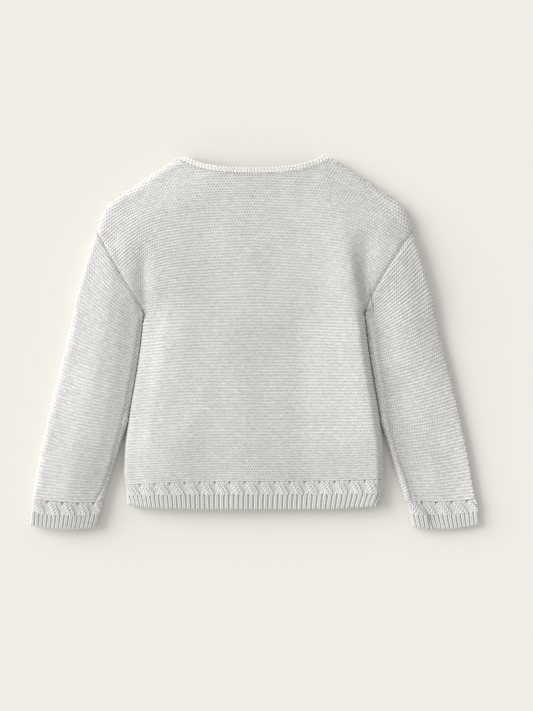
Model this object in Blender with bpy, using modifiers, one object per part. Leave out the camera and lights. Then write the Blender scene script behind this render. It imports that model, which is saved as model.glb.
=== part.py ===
"""Baby pullover with drop shoulders, laid flat on its front, back side up.

Eleven knitted pieces, sewn edge to edge: back, front, two sleeves, a neckband,
and at the hem and both cuffs a band of small cables above a band of rib.
Units are metres, +Z is up and +Y points to the neck.  The origin is on the
ground, under the middle of the garment.
"""
import bpy
import numpy as np

MM = 0.001

# ---------------------------------------------------------------- sizes
WALL = 2.6 * MM              # thickness of one layer of knitting
SEAM_GAP = 0.70 * MM         # space left between two pieces at a seam
EDGE_GAP = 0.40 * MM         # each panel stops this far above or below the fold
SLEEVE_SPACE = 0.80 * MM     # sleeve to body, where they lie side by side

LOFT = 15.0 * MM             # height of the two layers and the air between them
FOLD_Z = 7.2 * MM            # height at which the top layer turns into the bottom one
TURN_TOP = 5.4 * MM          # the top layer turns down to the fold over this width
TURN_BOTTOM = 6.4 * MM       # the same for the layer underneath
SLOPE_WIDTH = 19.0 * MM      # inside the turn, the top layer still rises this far
SLOPE_SHARE = 0.30           # share of its height that it gains there
HEM_SAG = 3.0 * MM           # the open edges lie lower than the middle of the body
HEM_SAG_START = -88.0 * MM   # it sets in below this height
HEM_SAG_REACH = 62.0 * MM    # and is full this far below that

NECK_X = 73.0 * MM           # neckband seam to the middle, at the shoulder
NECK_Y = 177.3 * MM
NECK_FREE_X = 65.0 * MM      # free edge of the neckband, at the shoulder
NECK_FREE_Y = 178.9 * MM
BACK_NECK_SEAM = 163.4 * MM  # lowest point of each neckline
BACK_NECK_FREE = 168.9 * MM
FRONT_NECK_SEAM = 137.0 * MM
FRONT_NECK_FREE = 142.6 * MM
BACK_NECK_POWER = 3.0        # how squarely the neckline is scooped
FRONT_NECK_POWER = 2.2

UNDERARM_Y = 28.4 * MM
HEM_BAND_TOP = -134.3 * MM
HEM_RIB_TOP = -146.9 * MM
HEM_BOTTOM = -160.8 * MM
HEM_CORNER_RISE = 4.2 * MM   # the rib climbs this much towards its corners
HEM_CORNER_POWER = 4.0

# The lower body hangs a little lower on the left than on the right.
SKEW_LEFT = -3.9 * MM
SKEW_RIGHT = 2.5 * MM
SKEW_START = 28.0 * MM        # it sets in between these two heights
SKEW_FULL = -5.0 * MM
SKEW_POWER = 3               # and grows towards the sides with this power
RIB_SKEW = 0.45              # share of it left where the rib starts

SIDES = {"left": -1.0, "right": 1.0}

# Armhole seam: how far it bows towards the body, by side.
SEAM_BOW = {"left": -1.4 * MM, "right": 2.8 * MM}
CORNER_POWER = 7.0           # how suddenly body and sleeve part at the underarm
CORNER_LIFT = 0.35 * MM      # the two panels part this much more at the underarm
CORNER_REACH = 3.0 * MM

# Outer face of the garment from the neck over the shoulder and down the sleeve.
# columns: x, y
SHOULDER_AND_SLEEVE = np.array([
    (65.4, 180.3), (73.6, 178.7), (90.1, 168.6), (98.8, 163.1), (116.2, 151.5),
    (131.2, 141.5), (143.4, 131.6), (149.7, 120.5), (153.5, 106.9),
    (160.8, 92.4), (170.5, 59.9), (179.2, 12.0), (191.8, -36.5), (197.6, -61.7),
    (203.9, -88.8), (208.3, -111.1), (212.6, -137.2), (215.6, -154.2),
    (217.0, -165.3), (217.6, -177.5),
]) * MM
SHOULDER_END = 8             # row of that table where the armhole seam starts

# Outer face of the body below the underarm.  columns: x, y
BODY_SIDE = np.array([
    (106.5, 28.4), (110.2, -2.6), (114.8, -32.6), (120.0, -62.6), (122.5, -80.1),
    (125.4, -104.3), (126.1, -123.7), (124.9, -143.0), (123.2, -158.0),
]) * MM

# Inner edge of the sleeve, below the stretch where it follows the body.
# columns: x, y
SLEEVE_INNER = np.array([
    (127.6, -92.7), (133.7, -113.0), (140.8, -135.3), (146.6, -153.7),
    (150.2, -167.2), (153.4, -179.0),
]) * MM
SLEEVE_LEAVES_BODY = -79.0 * MM

# Rows of the sleeve, from the armhole to the end of the garter knit.
# columns: y at the inner edge, y at the outer edge, sag of the row
SLEEVE_ROWS = np.array([
    (28.4, 106.9, 0.0), (25.6, 91.9, 0.5), (21.2, 73.0, 1.2), (13.9, 56.5, 2.0),
    (2.3, 35.2, 2.4), (-17.1, 8.1, 2.6), (-36.5, -16.1, 2.6), (-55.8, -38.4, 2.5),
    (-79.1, -65.5, 2.3), (-101.4, -88.8, 2.0), (-120.7, -111.1, 1.8),
    (-138.2, -133.3, 1.6), (-154.6, -152.2, 1.4),
]) * MM
CUFF_RIB_TOP = np.array((-166.7, -164.3, 2.0)) * MM
CUFF_BOTTOM = np.array((-178.2, -176.4, 2.9)) * MM

# Knitted rows of the body, from the yoke to the hem band: straight in the
# middle, turning down towards the armhole.
# columns: y at the centre, at BEND_X[0], at BEND_X[1], at BEND_X[2], at the end
BEND_X = np.array((58.0, 82.0, 100.0)) * MM
BODY_ROWS = np.array([
    (135.0, 132.1, 127.2, 121.1, 86.6), (115.6, 112.2, 107.9, 101.3, 71.1),
    (94.3, 91.4, 87.5, 81.7, 55.1), (70.1, 67.2, 64.8, 59.4, 41.5),
    (50.7, 48.8, 47.3, 43.9, 33.8), (34.2, 33.3, 32.3, 30.9, 28.4),
    (12.0, 11.0, 10.0, 9.1, 8.6), (-31.6, -31.9, -32.4, -32.9, -33.2),
    (-75.2, -75.4, -75.6, -75.8, -76.0), (-134.3, -134.3, -134.3, -134.3, -134.3),
]) * MM
UNDERARM_ROW = 5             # row of that table that ends at the underarm

# Soft folds of the top layer, each a crest or a trough through its points.
# columns: x, y, height (negative for a trough), width
FOLDS = {
    "crease above the right underarm": [
        (104.0, 29.0, -2.6, 5.0), (96.0, 75.0, -2.8, 5.5), (93.0, 108.0, 0.0, 6.5)],
    "crease above the left underarm": [
        (-106.0, 29.0, -2.4, 6.0), (-107.5, 66.0, -1.6, 6.5), (-106.0, 100.0, 0.0, 7.0)],
    "dent beside the left armhole": [
        (-136.0, 102.0, -0.6, 6.0), (-129.0, 66.0, -1.2, 6.0)],
    "ridge inside the right side": [
        (80.0, 112.0, 0.4, 20.0), (88.0, 76.0, 2.4, 15.0), (96.0, 40.0, 3.6, 14.0),
        (101.0, 10.0, 4.0, 14.0), (112.0, -60.0, 4.0, 14.0), (118.0, -118.0, 3.2, 14.0),
        (118.0, -160.0, 1.6, 14.0)],
    "ridge inside the left side": [
        (-88.0, 96.0, 0.6, 15.0), (-92.0, 20.0, 1.4, 15.0), (-112.0, -128.0, 1.0, 15.0)],
    "long swell down the middle": [
        (10.0, 92.0, 0.4, 18.0), (18.0, 0.0, 0.9, 17.0), (12.0, -135.0, 1.6, 16.0)],
    "slanting swell on the left": [
        (-26.0, 6.0, 0.8, 14.0), (-66.0, -92.0, 0.8, 14.0)],
    "crown of the left sleeve": [
        (-134.0, 84.0, 1.0, 13.0), (-150.0, 18.0, 1.4, 14.0), (-180.0, -150.0, 0.6, 15.0)],
    "crown of the right sleeve": [
        (134.0, 84.0, 0.6, 13.0), (150.0, 18.0, 0.8, 14.0), (180.0, -150.0, 0.4, 15.0)],
}

# How finely each piece is divided.
EDGE_STEPS = 6               # points of a fold line for each row of its table
SEAM_STEPS = 40              # points of an armhole seam
# Columns of a panel, measured along its neckline and shoulder.
NECK_COLUMNS = np.array((0.0, 13.0, 26.0, 39.0, 51.0, 61.0, 68.5, 71.8, 73.0)) * MM
SHOULDER_COLUMNS = np.array((93.0, 113.0, 133.0)) * MM
# Columns and rows that follow a fold, by their distance from it.
PANEL_FOLD = np.array((18.0, 10.0, 4.5, 2.2, 0.8, 0.07, 0.0)) * MM
TUBE_FOLD = np.array((0.0, 0.5, 2.0, 4.5, 10.0)) * MM
YOKE_DEPTH = 28.0 * MM       # height of the rows between neckline and first knit row
YOKE_ROWS = 6                # knit rows down to the underarm
BODY_STEPS = 6               # and from there to the hem band
ARM_MIDDLE = 4               # columns across the middle of a sleeve
HEM_MIDDLE = 8               # columns across the middle of the hem

KNIT_GREY = (0.62, 0.61, 0.585, 1.0)
BAND_GREY = (0.57, 0.56, 0.535, 1.0)


# ---------------------------------------------------------------- curves
def smooth(knots, values, at):
    """Smooth curve through the knots that never swings past them."""
    knots = np.asarray(knots, float)
    values = np.asarray(values, float)
    if knots[0] > knots[-1]:
        knots, values = knots[::-1], values[::-1]
    step = np.diff(knots)
    rise = np.diff(values) / step
    slope = np.zeros(len(knots))
    slope[0], slope[-1] = rise[0], rise[-1]
    for i in range(1, len(knots) - 1):
        if rise[i - 1] * rise[i] > 0.0:
            slope[i] = 2.0 * rise[i - 1] * rise[i] / (rise[i - 1] + rise[i])
    at = np.clip(at, knots[0], knots[-1])
    i = np.clip(np.searchsorted(knots, at) - 1, 0, len(step) - 1)
    t = (at - knots[i]) / step[i]
    return (values[i] * (1 + 2 * t) * (1 - t) ** 2
            + values[i + 1] * t * t * (3 - 2 * t)
            + slope[i] * step[i] * t * (1 - t) ** 2
            - slope[i + 1] * step[i] * t * t * (1 - t))


def inset(line, amount):
    """The line moved sideways, to the right of its direction of travel."""
    along = np.gradient(line, axis=0)
    along /= np.linalg.norm(along, axis=1)[:, None]
    return line + amount * np.stack((along[:, 1], -along[:, 0]), axis=1)


def distance(x, y, line):
    """Shortest distance from each point to the line."""
    best = np.full(np.shape(x), np.inf)
    for (x0, y0), (x1, y1) in zip(line[:-1], line[1:]):
        dx, dy = x1 - x0, y1 - y0
        t = np.clip(((x - x0) * dx + (y - y0) * dy) / (dx * dx + dy * dy), 0.0, 1.0)
        best = np.minimum(best, np.hypot(x - x0 - t * dx, y - y0 - t * dy))
    return best


def ease(t):
    """0 to 1 with soft ends."""
    t = np.clip(t, 0.0, 1.0)
    return t * t * (3.0 - 2.0 * t)


def lengths(line):
    """Distance travelled along the line at each of its points."""
    return np.concatenate(((0.0,), np.cumsum(np.hypot(*np.diff(line, axis=0).T))))


def refined(line):
    """The line as a smooth curve, with EDGE_STEPS points for each one given."""
    travelled = lengths(line)
    start = np.arange(len(line) - 1)
    at = np.interp(np.linspace(0, start[-1] + 1, EDGE_STEPS * len(start) + 1),
                   np.arange(len(line)), travelled)
    return np.stack([smooth(travelled, line[:, k], at) for k in range(2)], axis=1)


# Middle of the cloth wall along each fold of the garment.
OUTER_EDGE = refined(inset(SHOULDER_AND_SLEEVE, WALL / 2))
SIDE_EDGE = refined(BODY_SIDE - np.array((WALL / 2, 0.0)))


def edge_x(edge, y):
    """x of a fold line that runs down from its first point, at height y."""
    return np.interp(-np.asarray(y), -edge[:, 1], edge[:, 0])


def inner_edge():
    """Inner edge of the sleeve: beside the body first, then on its own."""
    beside = SIDE_EDGE[SIDE_EDGE[:, 1] > SLEEVE_LEAVES_BODY]
    beside = beside + np.array((WALL + SLEEVE_SPACE, 0.0))
    free = SLEEVE_INNER + np.array((WALL / 2, 0.0))
    return np.vstack((beside, refined(np.vstack((beside[-1], free)))[1:]))


INNER_EDGE = inner_edge()


# ---------------------------------------------------------------- heights
def rounded(u):
    """Quarter of an ellipse: 0 at the fold, 1 where the cloth lies level."""
    return np.sqrt(1.0 - (1.0 - np.clip(u, 0.0, 1.0)) ** 2)


def fold_height(x, y, stations):
    """Height that one crest or trough adds: highest on its line, gone beside it."""
    near = np.full(np.shape(x), np.inf)
    height = np.zeros(np.shape(x))
    for (x0, y0, h0, w0), (x1, y1, h1, w1) in zip(stations[:-1], stations[1:]):
        dx, dy = x1 - x0, y1 - y0
        t = np.clip(((x - x0) * dx + (y - y0) * dy) / (dx * dx + dy * dy), 0.0, 1.0)
        away = np.hypot(x - x0 - t * dx, y - y0 - t * dy)
        here = (h0 + (h1 - h0) * t) * np.exp(-(away / (w0 + (w1 - w0) * t)) ** 2)
        height = np.where(away < near, here, height)
        near = np.minimum(near, away)
    return height


def fold_heights(x, y):
    return sum(fold_height(x, y, np.array(line) * MM) for line in FOLDS.values())


def to_fold(x, y):
    """Distance to the nearest folded edge, on either side of the garment."""
    near = distance(np.abs(x), y, OUTER_EDGE)
    near = np.minimum(near, distance(np.abs(x), y, SIDE_EDGE))
    return np.minimum(near, distance(np.abs(x), y, INNER_EDGE))


def top_z(x, y):
    sag = HEM_SAG * ease((HEM_SAG_START - y) / HEM_SAG_REACH)
    crown = LOFT - WALL / 2 + fold_heights(x, y) - sag
    away = to_fold(x, y)
    share = (1.0 - SLOPE_SHARE) * rounded(away / TURN_TOP)
    share = share + SLOPE_SHARE * ease(away / SLOPE_WIDTH)
    return FOLD_Z + (crown - FOLD_Z) * share


def bottom_z(x, y):
    return FOLD_Z - (FOLD_Z - WALL / 2) * rounded(to_fold(x, y) / TURN_BOTTOM)


# ---------------------------------------------------------------- armhole seam
def seam_points(side, piece):
    """Armhole seam of one side, from the underarm to the shoulder.

    piece is -1 for the body's edge and +1 for the sleeve's edge.
    """
    low = np.array((edge_x(SIDE_EDGE, UNDERARM_Y), UNDERARM_Y))
    high = OUTER_EDGE[SHOULDER_END * EDGE_STEPS]
    s = np.linspace(0.0, 1.0, SEAM_STEPS)[:, None]
    line = low + (high - low) * s
    run = (high - low) / np.linalg.norm(high - low)
    outward = np.array((run[1], -run[0]))
    line = line - SEAM_BOW[side] * 4.0 * s * (1.0 - s) * outward
    if piece < 0:
        return line - outward * SEAM_GAP / 2 * (1.0 - (1.0 - s) ** CORNER_POWER)
    corner = np.array((WALL + SLEEVE_SPACE, 0.0)) * (1.0 - s) ** CORNER_POWER
    return line + outward * SEAM_GAP / 2 * (1.0 - (1.0 - s) ** CORNER_POWER) + corner


def body_end_x(side, y):
    """Where a knitted row of the body ends: at the armhole or at the side."""
    seam = seam_points(side, -1)
    at_seam = np.interp(y, seam[:, 1], seam[:, 0])
    return np.where(np.asarray(y) > UNDERARM_Y, at_seam, edge_x(SIDE_EDGE, y))


# ---------------------------------------------------------------- body
def skew(x, y):
    """Small drop to the left and rise to the right of the lower body."""
    share = ease((SKEW_START - y) / (SKEW_START - SKEW_FULL))
    reach = np.abs(x) / np.max(SIDE_EDGE[:, 0])
    return np.where(x < 0, SKEW_LEFT, SKEW_RIGHT) * share * reach ** SKEW_POWER


def scoop(x, low, corner_x, corner_y, power):
    """Scooped line from its lowest point in the middle up to a corner."""
    return low + (corner_y - low) * np.clip(np.abs(x) / corner_x, 0.0, 1.0) ** power


def neck_edge(x, front, offset):
    """Neckline seam at the given x, moved up by offset measured across the seam."""
    low = FRONT_NECK_SEAM if front else BACK_NECK_SEAM
    power = FRONT_NECK_POWER if front else BACK_NECK_POWER
    slope = (NECK_Y - low) * power / NECK_X * (np.abs(x) / NECK_X) ** (power - 1.0)
    y = scoop(x, low, NECK_X, NECK_Y, power) + offset * np.hypot(1.0, slope)
    return np.stack((x, y), axis=1)


def yoke_edge(side, front):
    """Top of a panel: along the neckline, then down the shoulder."""
    neck = neck_edge(NECK_COLUMNS, front, -SEAM_GAP / 2)
    shoulder = OUTER_EDGE[EDGE_STEPS + 1:SHOULDER_END * EDGE_STEPS]
    shoulder = np.vstack((neck[-1], shoulder, seam_points(side, -1)[-1]))
    length = lengths(shoulder)
    inner = (SHOULDER_COLUMNS - NECK_X) / (SHOULDER_COLUMNS[-1] - NECK_X)
    at = np.concatenate((inner * (length[-1] - PANEL_FOLD[0]), length[-1] - PANEL_FOLD[1:]))
    over = np.stack([np.interp(at, length, shoulder[:, k]) for k in range(2)], axis=1)
    return np.vstack((neck, over))


def knit_row(centre, side):
    """Points of the knitted row that crosses the middle of the panel at centre."""
    *bends, end_y = [smooth(BODY_ROWS[:, 0], BODY_ROWS[:, k], centre) for k in range(1, 5)]
    sign = SIDES[side]
    dropped = end_y + skew(sign * body_end_x(side, end_y), end_y)
    end_x = float(body_end_x(side, dropped))
    inner = np.concatenate((NECK_COLUMNS, SHOULDER_COLUMNS)) / SHOULDER_COLUMNS[-1]
    x = np.concatenate((inner * (end_x - PANEL_FOLD[0]), end_x - PANEL_FOLD[1:]))
    knots = np.concatenate(((0.0,), BEND_X, (end_x,)))
    y = smooth(knots, np.array((centre, *bends, end_y)), x)
    return np.stack((x, y + skew(sign * x, y)), axis=1)


def half_panel(front, side):
    """Plan of half a panel: one row of points for each knitted row."""
    edge = yoke_edge(side, front)
    yoke, underarm, last = BODY_ROWS[0, 0], BODY_ROWS[UNDERARM_ROW, 0], BODY_ROWS[-1, 0]
    first = knit_row(yoke, side)
    rows = []
    for depth in PANEL_FOLD[::-1]:
        rows.append(edge + (first - edge) * depth / YOKE_DEPTH)
    for centre in np.linspace(yoke, underarm, YOKE_ROWS + 1):
        rows.append(knit_row(centre, side))
    for centre in np.linspace(underarm, last, BODY_STEPS + 1)[1:]:
        rows.append(knit_row(centre, side))
    return np.array(rows)


def panel_plan(front):
    """Both halves of a panel side by side."""
    right = half_panel(front, "right")
    left = half_panel(front, "left")[:, :0:-1] * np.array((-1.0, 1.0))
    plan = np.concatenate((left, right), axis=1)
    return plan[:, :, 0], plan[:, :, 1]


def make_panel(name, front):
    x, y = panel_plan(front)
    z = bottom_z(x, y) if front else top_z(x, y)
    corner = np.hypot(np.abs(x) - SIDE_EDGE[0, 0], y - SIDE_EDGE[0, 1])
    apart = EDGE_GAP * np.exp(-to_fold(x, y) / EDGE_GAP)
    apart = apart + CORNER_LIFT * np.exp(-(corner / CORNER_REACH) ** 2)
    z = z - apart if front else z + apart
    grid = np.stack((x, y, z), axis=2)
    return cloth(name, grid, closed=False, flip=front, colour=KNIT_GREY)


# ---------------------------------------------------------------- tubes
def across(width, middle):
    """Shares from 0 to 1 that close up near both folds of a tube."""
    between = np.linspace(TUBE_FOLD[-1], width - TUBE_FOLD[-1], middle + 1)
    return np.concatenate((TUBE_FOLD[:-1], between, (width - TUBE_FOLD[:-1])[::-1])) / width


def ring(x, y):
    """Closed ring from plan points that run from one fold to the other."""
    top = np.stack((x, y, top_z(x, y)), axis=1)
    bottom = np.stack((x, y, bottom_z(x, y)), axis=1)
    return np.vstack((top, bottom[-2:0:-1]))


def arm_row(inner_y, outer_y, sag):
    """Plan of a row across a sleeve, from its inner to its outer edge."""
    start = np.array((edge_x(INNER_EDGE, inner_y), inner_y))
    end = np.array((edge_x(OUTER_EDGE, outer_y), outer_y))
    share = across(np.linalg.norm(end - start), ARM_MIDDLE)
    points = start + (end - start) * share[:, None]
    points[:, 1] -= sag * 4.0 * share * (1.0 - share)
    return points


def armhole_row(side):
    seam = seam_points(side, 1)
    share = across(np.linalg.norm(seam[-1] - seam[0]), ARM_MIDDLE)
    place = np.linspace(0.0, 1.0, len(seam))
    return np.stack([np.interp(share, place, seam[:, k]) for k in range(2)], axis=1)


def make_tube(name, rows, side, colour):
    """Tube through plan rows; the left one is the right one mirrored."""
    sign = SIDES[side]
    rings = [ring(sign * row[:, 0], row[:, 1]) for row in rows]
    return cloth(name, np.array(rings), closed=True, flip=sign < 0, colour=colour)


def make_sleeve(side):
    rows = [armhole_row(side)]
    rows += [arm_row(*row) for row in SLEEVE_ROWS[1:]]
    make_tube(side + "_sleeve", rows, side, KNIT_GREY)


def make_cuff(side):
    gap = np.array((SEAM_GAP, SEAM_GAP, 0.0))
    for name, top, bottom in (("braid", SLEEVE_ROWS[-1], CUFF_RIB_TOP),
                              ("rib", CUFF_RIB_TOP, CUFF_BOTTOM)):
        rows = [arm_row(*(top - gap)), arm_row(*bottom)]
        make_tube(side + "_cuff_" + name, rows, side, BAND_GREY)


# ---------------------------------------------------------------- hem
def hem_row(centre_y, skew_share, corner_rise):
    """Plan of a row across the hem, from the left fold to the right one."""
    half_width = edge_x(SIDE_EDGE, centre_y)
    share = 2.0 * across(2.0 * half_width, HEM_MIDDLE) - 1.0
    y = centre_y + corner_rise * np.abs(share) ** HEM_CORNER_POWER
    y = y + skew_share * skew(share * half_width, np.full(np.shape(share), centre_y))
    x = share * edge_x(SIDE_EDGE, y)
    return np.stack((x, y), axis=1)


def make_hem():
    gap = np.array((0.0, SEAM_GAP))
    band_top = hem_row(HEM_BAND_TOP, 1.0, 0.0)
    rib_top = hem_row(HEM_RIB_TOP, RIB_SKEW, 0.0)
    bottom = hem_row(HEM_BOTTOM, 0.0, HEM_CORNER_RISE)
    for name, high, low in (("hem_braid", band_top, rib_top), ("hem_rib", rib_top, bottom)):
        rings = [ring(row[:, 0], row[:, 1]) for row in (high - gap, low)]
        cloth(name, np.array(rings), closed=True, flip=True, colour=BAND_GREY)


# ---------------------------------------------------------------- neckband
def neck_ring(front, back):
    """Closed ring round the neck through a plan line of each layer."""
    top = np.column_stack((back, top_z(back[:, 0], back[:, 1])))
    bottom = np.column_stack((front, bottom_z(front[:, 0], front[:, 1])))
    return np.vstack((top, bottom[-2:0:-1]))


def make_neckband():
    x = np.concatenate((-NECK_COLUMNS[:0:-1], NECK_COLUMNS))
    seams = [neck_edge(x, front, SEAM_GAP / 2) for front in (True, False)]
    free_x = x * NECK_FREE_X / NECK_X
    corner = (NECK_FREE_X, NECK_FREE_Y)
    front_y = scoop(free_x, FRONT_NECK_FREE, *corner, FRONT_NECK_POWER)
    back_y = scoop(free_x, BACK_NECK_FREE, *corner, BACK_NECK_POWER)
    free = [np.stack((free_x, y), axis=1) for y in (front_y, back_y)]
    rings = np.array([neck_ring(*seams), neck_ring(*free)])
    cloth("neckband", rings, closed=True, flip=False, colour=BAND_GREY)


# ---------------------------------------------------------------- objects
def clear_scene():
    for thing in list(bpy.data.objects):
        bpy.data.objects.remove(thing, do_unlink=True)


def new_collection(name):
    group = bpy.data.collections.new(name)
    bpy.context.scene.collection.children.link(group)
    return group


def material(name, colour):
    made = bpy.data.materials.new(name)
    made.use_nodes = True
    shader = made.node_tree.nodes["Principled BSDF"]
    shader.inputs["Base Color"].default_value = colour
    shader.inputs["Roughness"].default_value = 0.95
    shader.inputs["Metallic"].default_value = 0.0
    return made


def cloth(name, grid, closed, flip, colour):
    """Cloth wall on a grid of points; closed joins its last column to its first."""
    rows, columns = grid.shape[:2]
    count = columns if closed else columns - 1
    faces = []
    for r in range(rows - 1):
        for c in range(count):
            d = (c + 1) % columns
            face = (r * columns + c, (r + 1) * columns + c,
                    (r + 1) * columns + d, r * columns + d)
            faces.append(face[::-1] if flip else face)
    mesh = bpy.data.meshes.new(name)
    mesh.from_pydata(grid.reshape(-1, 3).tolist(), [], faces)
    mesh.shade_smooth()
    piece = bpy.data.objects.new(name, mesh)
    GARMENT.objects.link(piece)
    mesh.materials.append(material(name + "_knit", colour))
    wall = piece.modifiers.new("Wall", "SOLIDIFY")
    wall.thickness = WALL
    wall.offset = 0.0
    return piece


clear_scene()
GARMENT = new_collection("baby_pullover")
make_panel("back_panel", front=False)
make_panel("front_panel", front=True)
for arm in SIDES:
    make_sleeve(arm)
    make_cuff(arm)
make_hem()
make_neckband()
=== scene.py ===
# %% [markdown]
# # A baby pullover, laid flat with its back up
# The real garment is knitted from soft light grey yarn: back, front and sleeves in
# garter knit, a narrow ribbed neckband, and at the hem and the cuffs a band of small
# cables above a band of rib.  This lesson knits each of those pieces in the place of its
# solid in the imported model.
#
# The cloth is built as a knitter would: in courses (the rows of the knitting) and
# wales (its columns of stitches).  A mesh whose rows are the courses can be raised
# into ridges and stitches by Geometry Nodes, so that the knitting is real shape.

import bpy
import numpy as np
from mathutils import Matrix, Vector


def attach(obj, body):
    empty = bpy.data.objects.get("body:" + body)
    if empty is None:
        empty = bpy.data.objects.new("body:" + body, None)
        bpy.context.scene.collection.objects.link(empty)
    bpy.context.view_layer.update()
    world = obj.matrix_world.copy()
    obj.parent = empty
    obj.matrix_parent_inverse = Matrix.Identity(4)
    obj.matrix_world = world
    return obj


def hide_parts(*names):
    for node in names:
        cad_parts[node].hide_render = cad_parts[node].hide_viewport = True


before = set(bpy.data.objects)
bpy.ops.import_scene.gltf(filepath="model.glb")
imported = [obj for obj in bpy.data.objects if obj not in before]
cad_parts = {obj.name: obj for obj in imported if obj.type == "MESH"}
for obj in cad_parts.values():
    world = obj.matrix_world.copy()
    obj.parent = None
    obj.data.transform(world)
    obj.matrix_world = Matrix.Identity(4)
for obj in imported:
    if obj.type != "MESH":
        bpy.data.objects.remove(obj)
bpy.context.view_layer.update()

print("pieces in the frame:", sorted(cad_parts))

# %% [markdown]
# ## Sizes
# The garment's sizes, in metres.  Its outline, seams and bands are those of its solids.
# The height of the cloth comes close to theirs, but its folds are softer and fuller.

# %% Driving sizes
MM = 0.001
WALL = 2.6 * MM              # thickness of one layer of knitting
SEAM_GAP = 0.20 * MM         # pieces are sewn together, so a seam all but closes
EDGE_GAP = 0.40 * MM         # each panel stops this far above or below the fold
SLEEVE_SPACE = 0.10 * MM     # sleeve to body, where they lie side by side
LOFT = 15.0 * MM             # the two layers and the air between them, before the folds
FOLD_Z = 7.2 * MM            # height at which the top layer turns into the bottom one
TURN_TOP = 6.6 * MM          # the top layer turns down to the fold over this width
TURN_BOTTOM = 6.4 * MM       # the same for the layer underneath
# Where a size differs from side to side, -1 is the left side and 1 the right one.
SLOPE_OUTER = {-1: 36.0 * MM, 1: 24.0 * MM}        # past the turn it goes on rising this far
SLOPE_INNER = {-1: 24.0 * MM, 1: 7.0 * MM}         # and this far where body and sleeve meet
SLOPE_SHARE = 0.42           # share of its height that it gains there
PUFF, PUFF_WIDTH = 1.4 * MM, 44.0 * MM     # the loose cloth stands a little fuller inside
UNDERARM_LIFT, UNDERARM_REACH = 4.6 * MM, 22.0 * MM       # the folds start high at the underarm
# Each of these comes in from a line, over a width.
HEM_SAG, SAG_Y, SAG_WIDTH = 3.4 * MM, -88.0 * MM, 62.0 * MM     # the open ends lie lower
THIN_RIGHT = 1.5 * MM                                # the folds of the right sleeve lie lower
THIN_X, THIN_X_WIDTH, THIN_Y, THIN_Y_WIDTH = 95.0 * MM, 30.0 * MM, 70.0 * MM, 80.0 * MM
LONG_TURN, LONG_Y, LONG_WIDTH = 9.0 * MM, 55.0 * MM, 60.0 * MM  # its outer one bends wider

NECK_X, NECK_Y = 73.0 * MM, 177.3 * MM             # end of the neckband's seam
NECK_FREE_X, NECK_FREE_Y = 65.0 * MM, 178.9 * MM   # end of its free edge
NECK_LOW = {"back": (163.4 * MM, 168.9 * MM, 3.0), "front": (137.0 * MM, 142.6 * MM, 2.2)}
UNDERARM_Y = 28.4 * MM
HEM_BAND_TOP, HEM_RIB_TOP, HEM_BOTTOM = -134.3 * MM, -146.9 * MM, -160.8 * MM
HEM_CORNER_RISE, HEM_CORNER_POWER = 4.2 * MM, 4.0
SKEW = {-1: -3.9 * MM, 1: 2.5 * MM}                # the lower body hangs askew
SKEW_START, SKEW_FULL, SKEW_POWER, RIB_SKEW = 28.0 * MM, -5.0 * MM, 3, 0.45
SEAM_BOW = {-1: -1.4 * MM, 1: 2.8 * MM}            # armhole seam, towards the body
CORNER_POWER = 18.0          # how suddenly body and sleeve part at the underarm
print("one layer is", round(WALL / MM, 1), "mm thick, and the body", round(LOFT / MM, 1),
      "mm high before its folds")

# %% Outline
# Outer face from the neck over the shoulder and down the sleeve.  columns: x, y
SHOULDER_AND_SLEEVE = np.array([
    (65.4, 180.3), (73.6, 178.7), (90.1, 168.6), (98.8, 163.1), (116.2, 151.5),
    (131.2, 141.5), (143.4, 131.6), (149.7, 120.5), (153.5, 106.9),
    (160.8, 92.4), (170.5, 59.9), (179.2, 12), (191.8, -36.5), (197.6, -61.7),
    (203.9, -88.8), (208.3, -111.1), (212.6, -137.2), (215.6, -154.2),
    (217, -165.3), (217.6, -177.5),
]) * MM
SHOULDER_END = 8             # row of that table where the armhole seam starts
# Outer face of the body below the underarm.  columns: x, y
BODY_SIDE = np.array([
    (106.5, 28.4), (110.2, -2.6), (114.8, -32.6), (120, -62.6), (122.5, -80.1),
    (125.4, -104.3), (126.1, -123.7), (124.9, -143), (123.2, -158),
]) * MM
# Inner edge of the sleeve, below the stretch beside the body.  columns: x, y
SLEEVE_INNER = np.array([
    (127.6, -92.7), (133.7, -113), (140.8, -135.3), (146.6, -153.7),
    (150.2, -167.2), (153.4, -179),
]) * MM
SLEEVE_LEAVES_BODY = -79.0 * MM
CUFF_BAND_TOP = np.array((-154.6, -152.2, 1.4)) * MM   # y inside, y outside, sag
CUFF_RIB_TOP = np.array((-166.7, -164.3, 2.0)) * MM
CUFF_BOTTOM = np.array((-178.2, -176.4, 2.9)) * MM
print("outline points:", len(SHOULDER_AND_SLEEVE), len(BODY_SIDE), len(SLEEVE_INNER))

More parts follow.
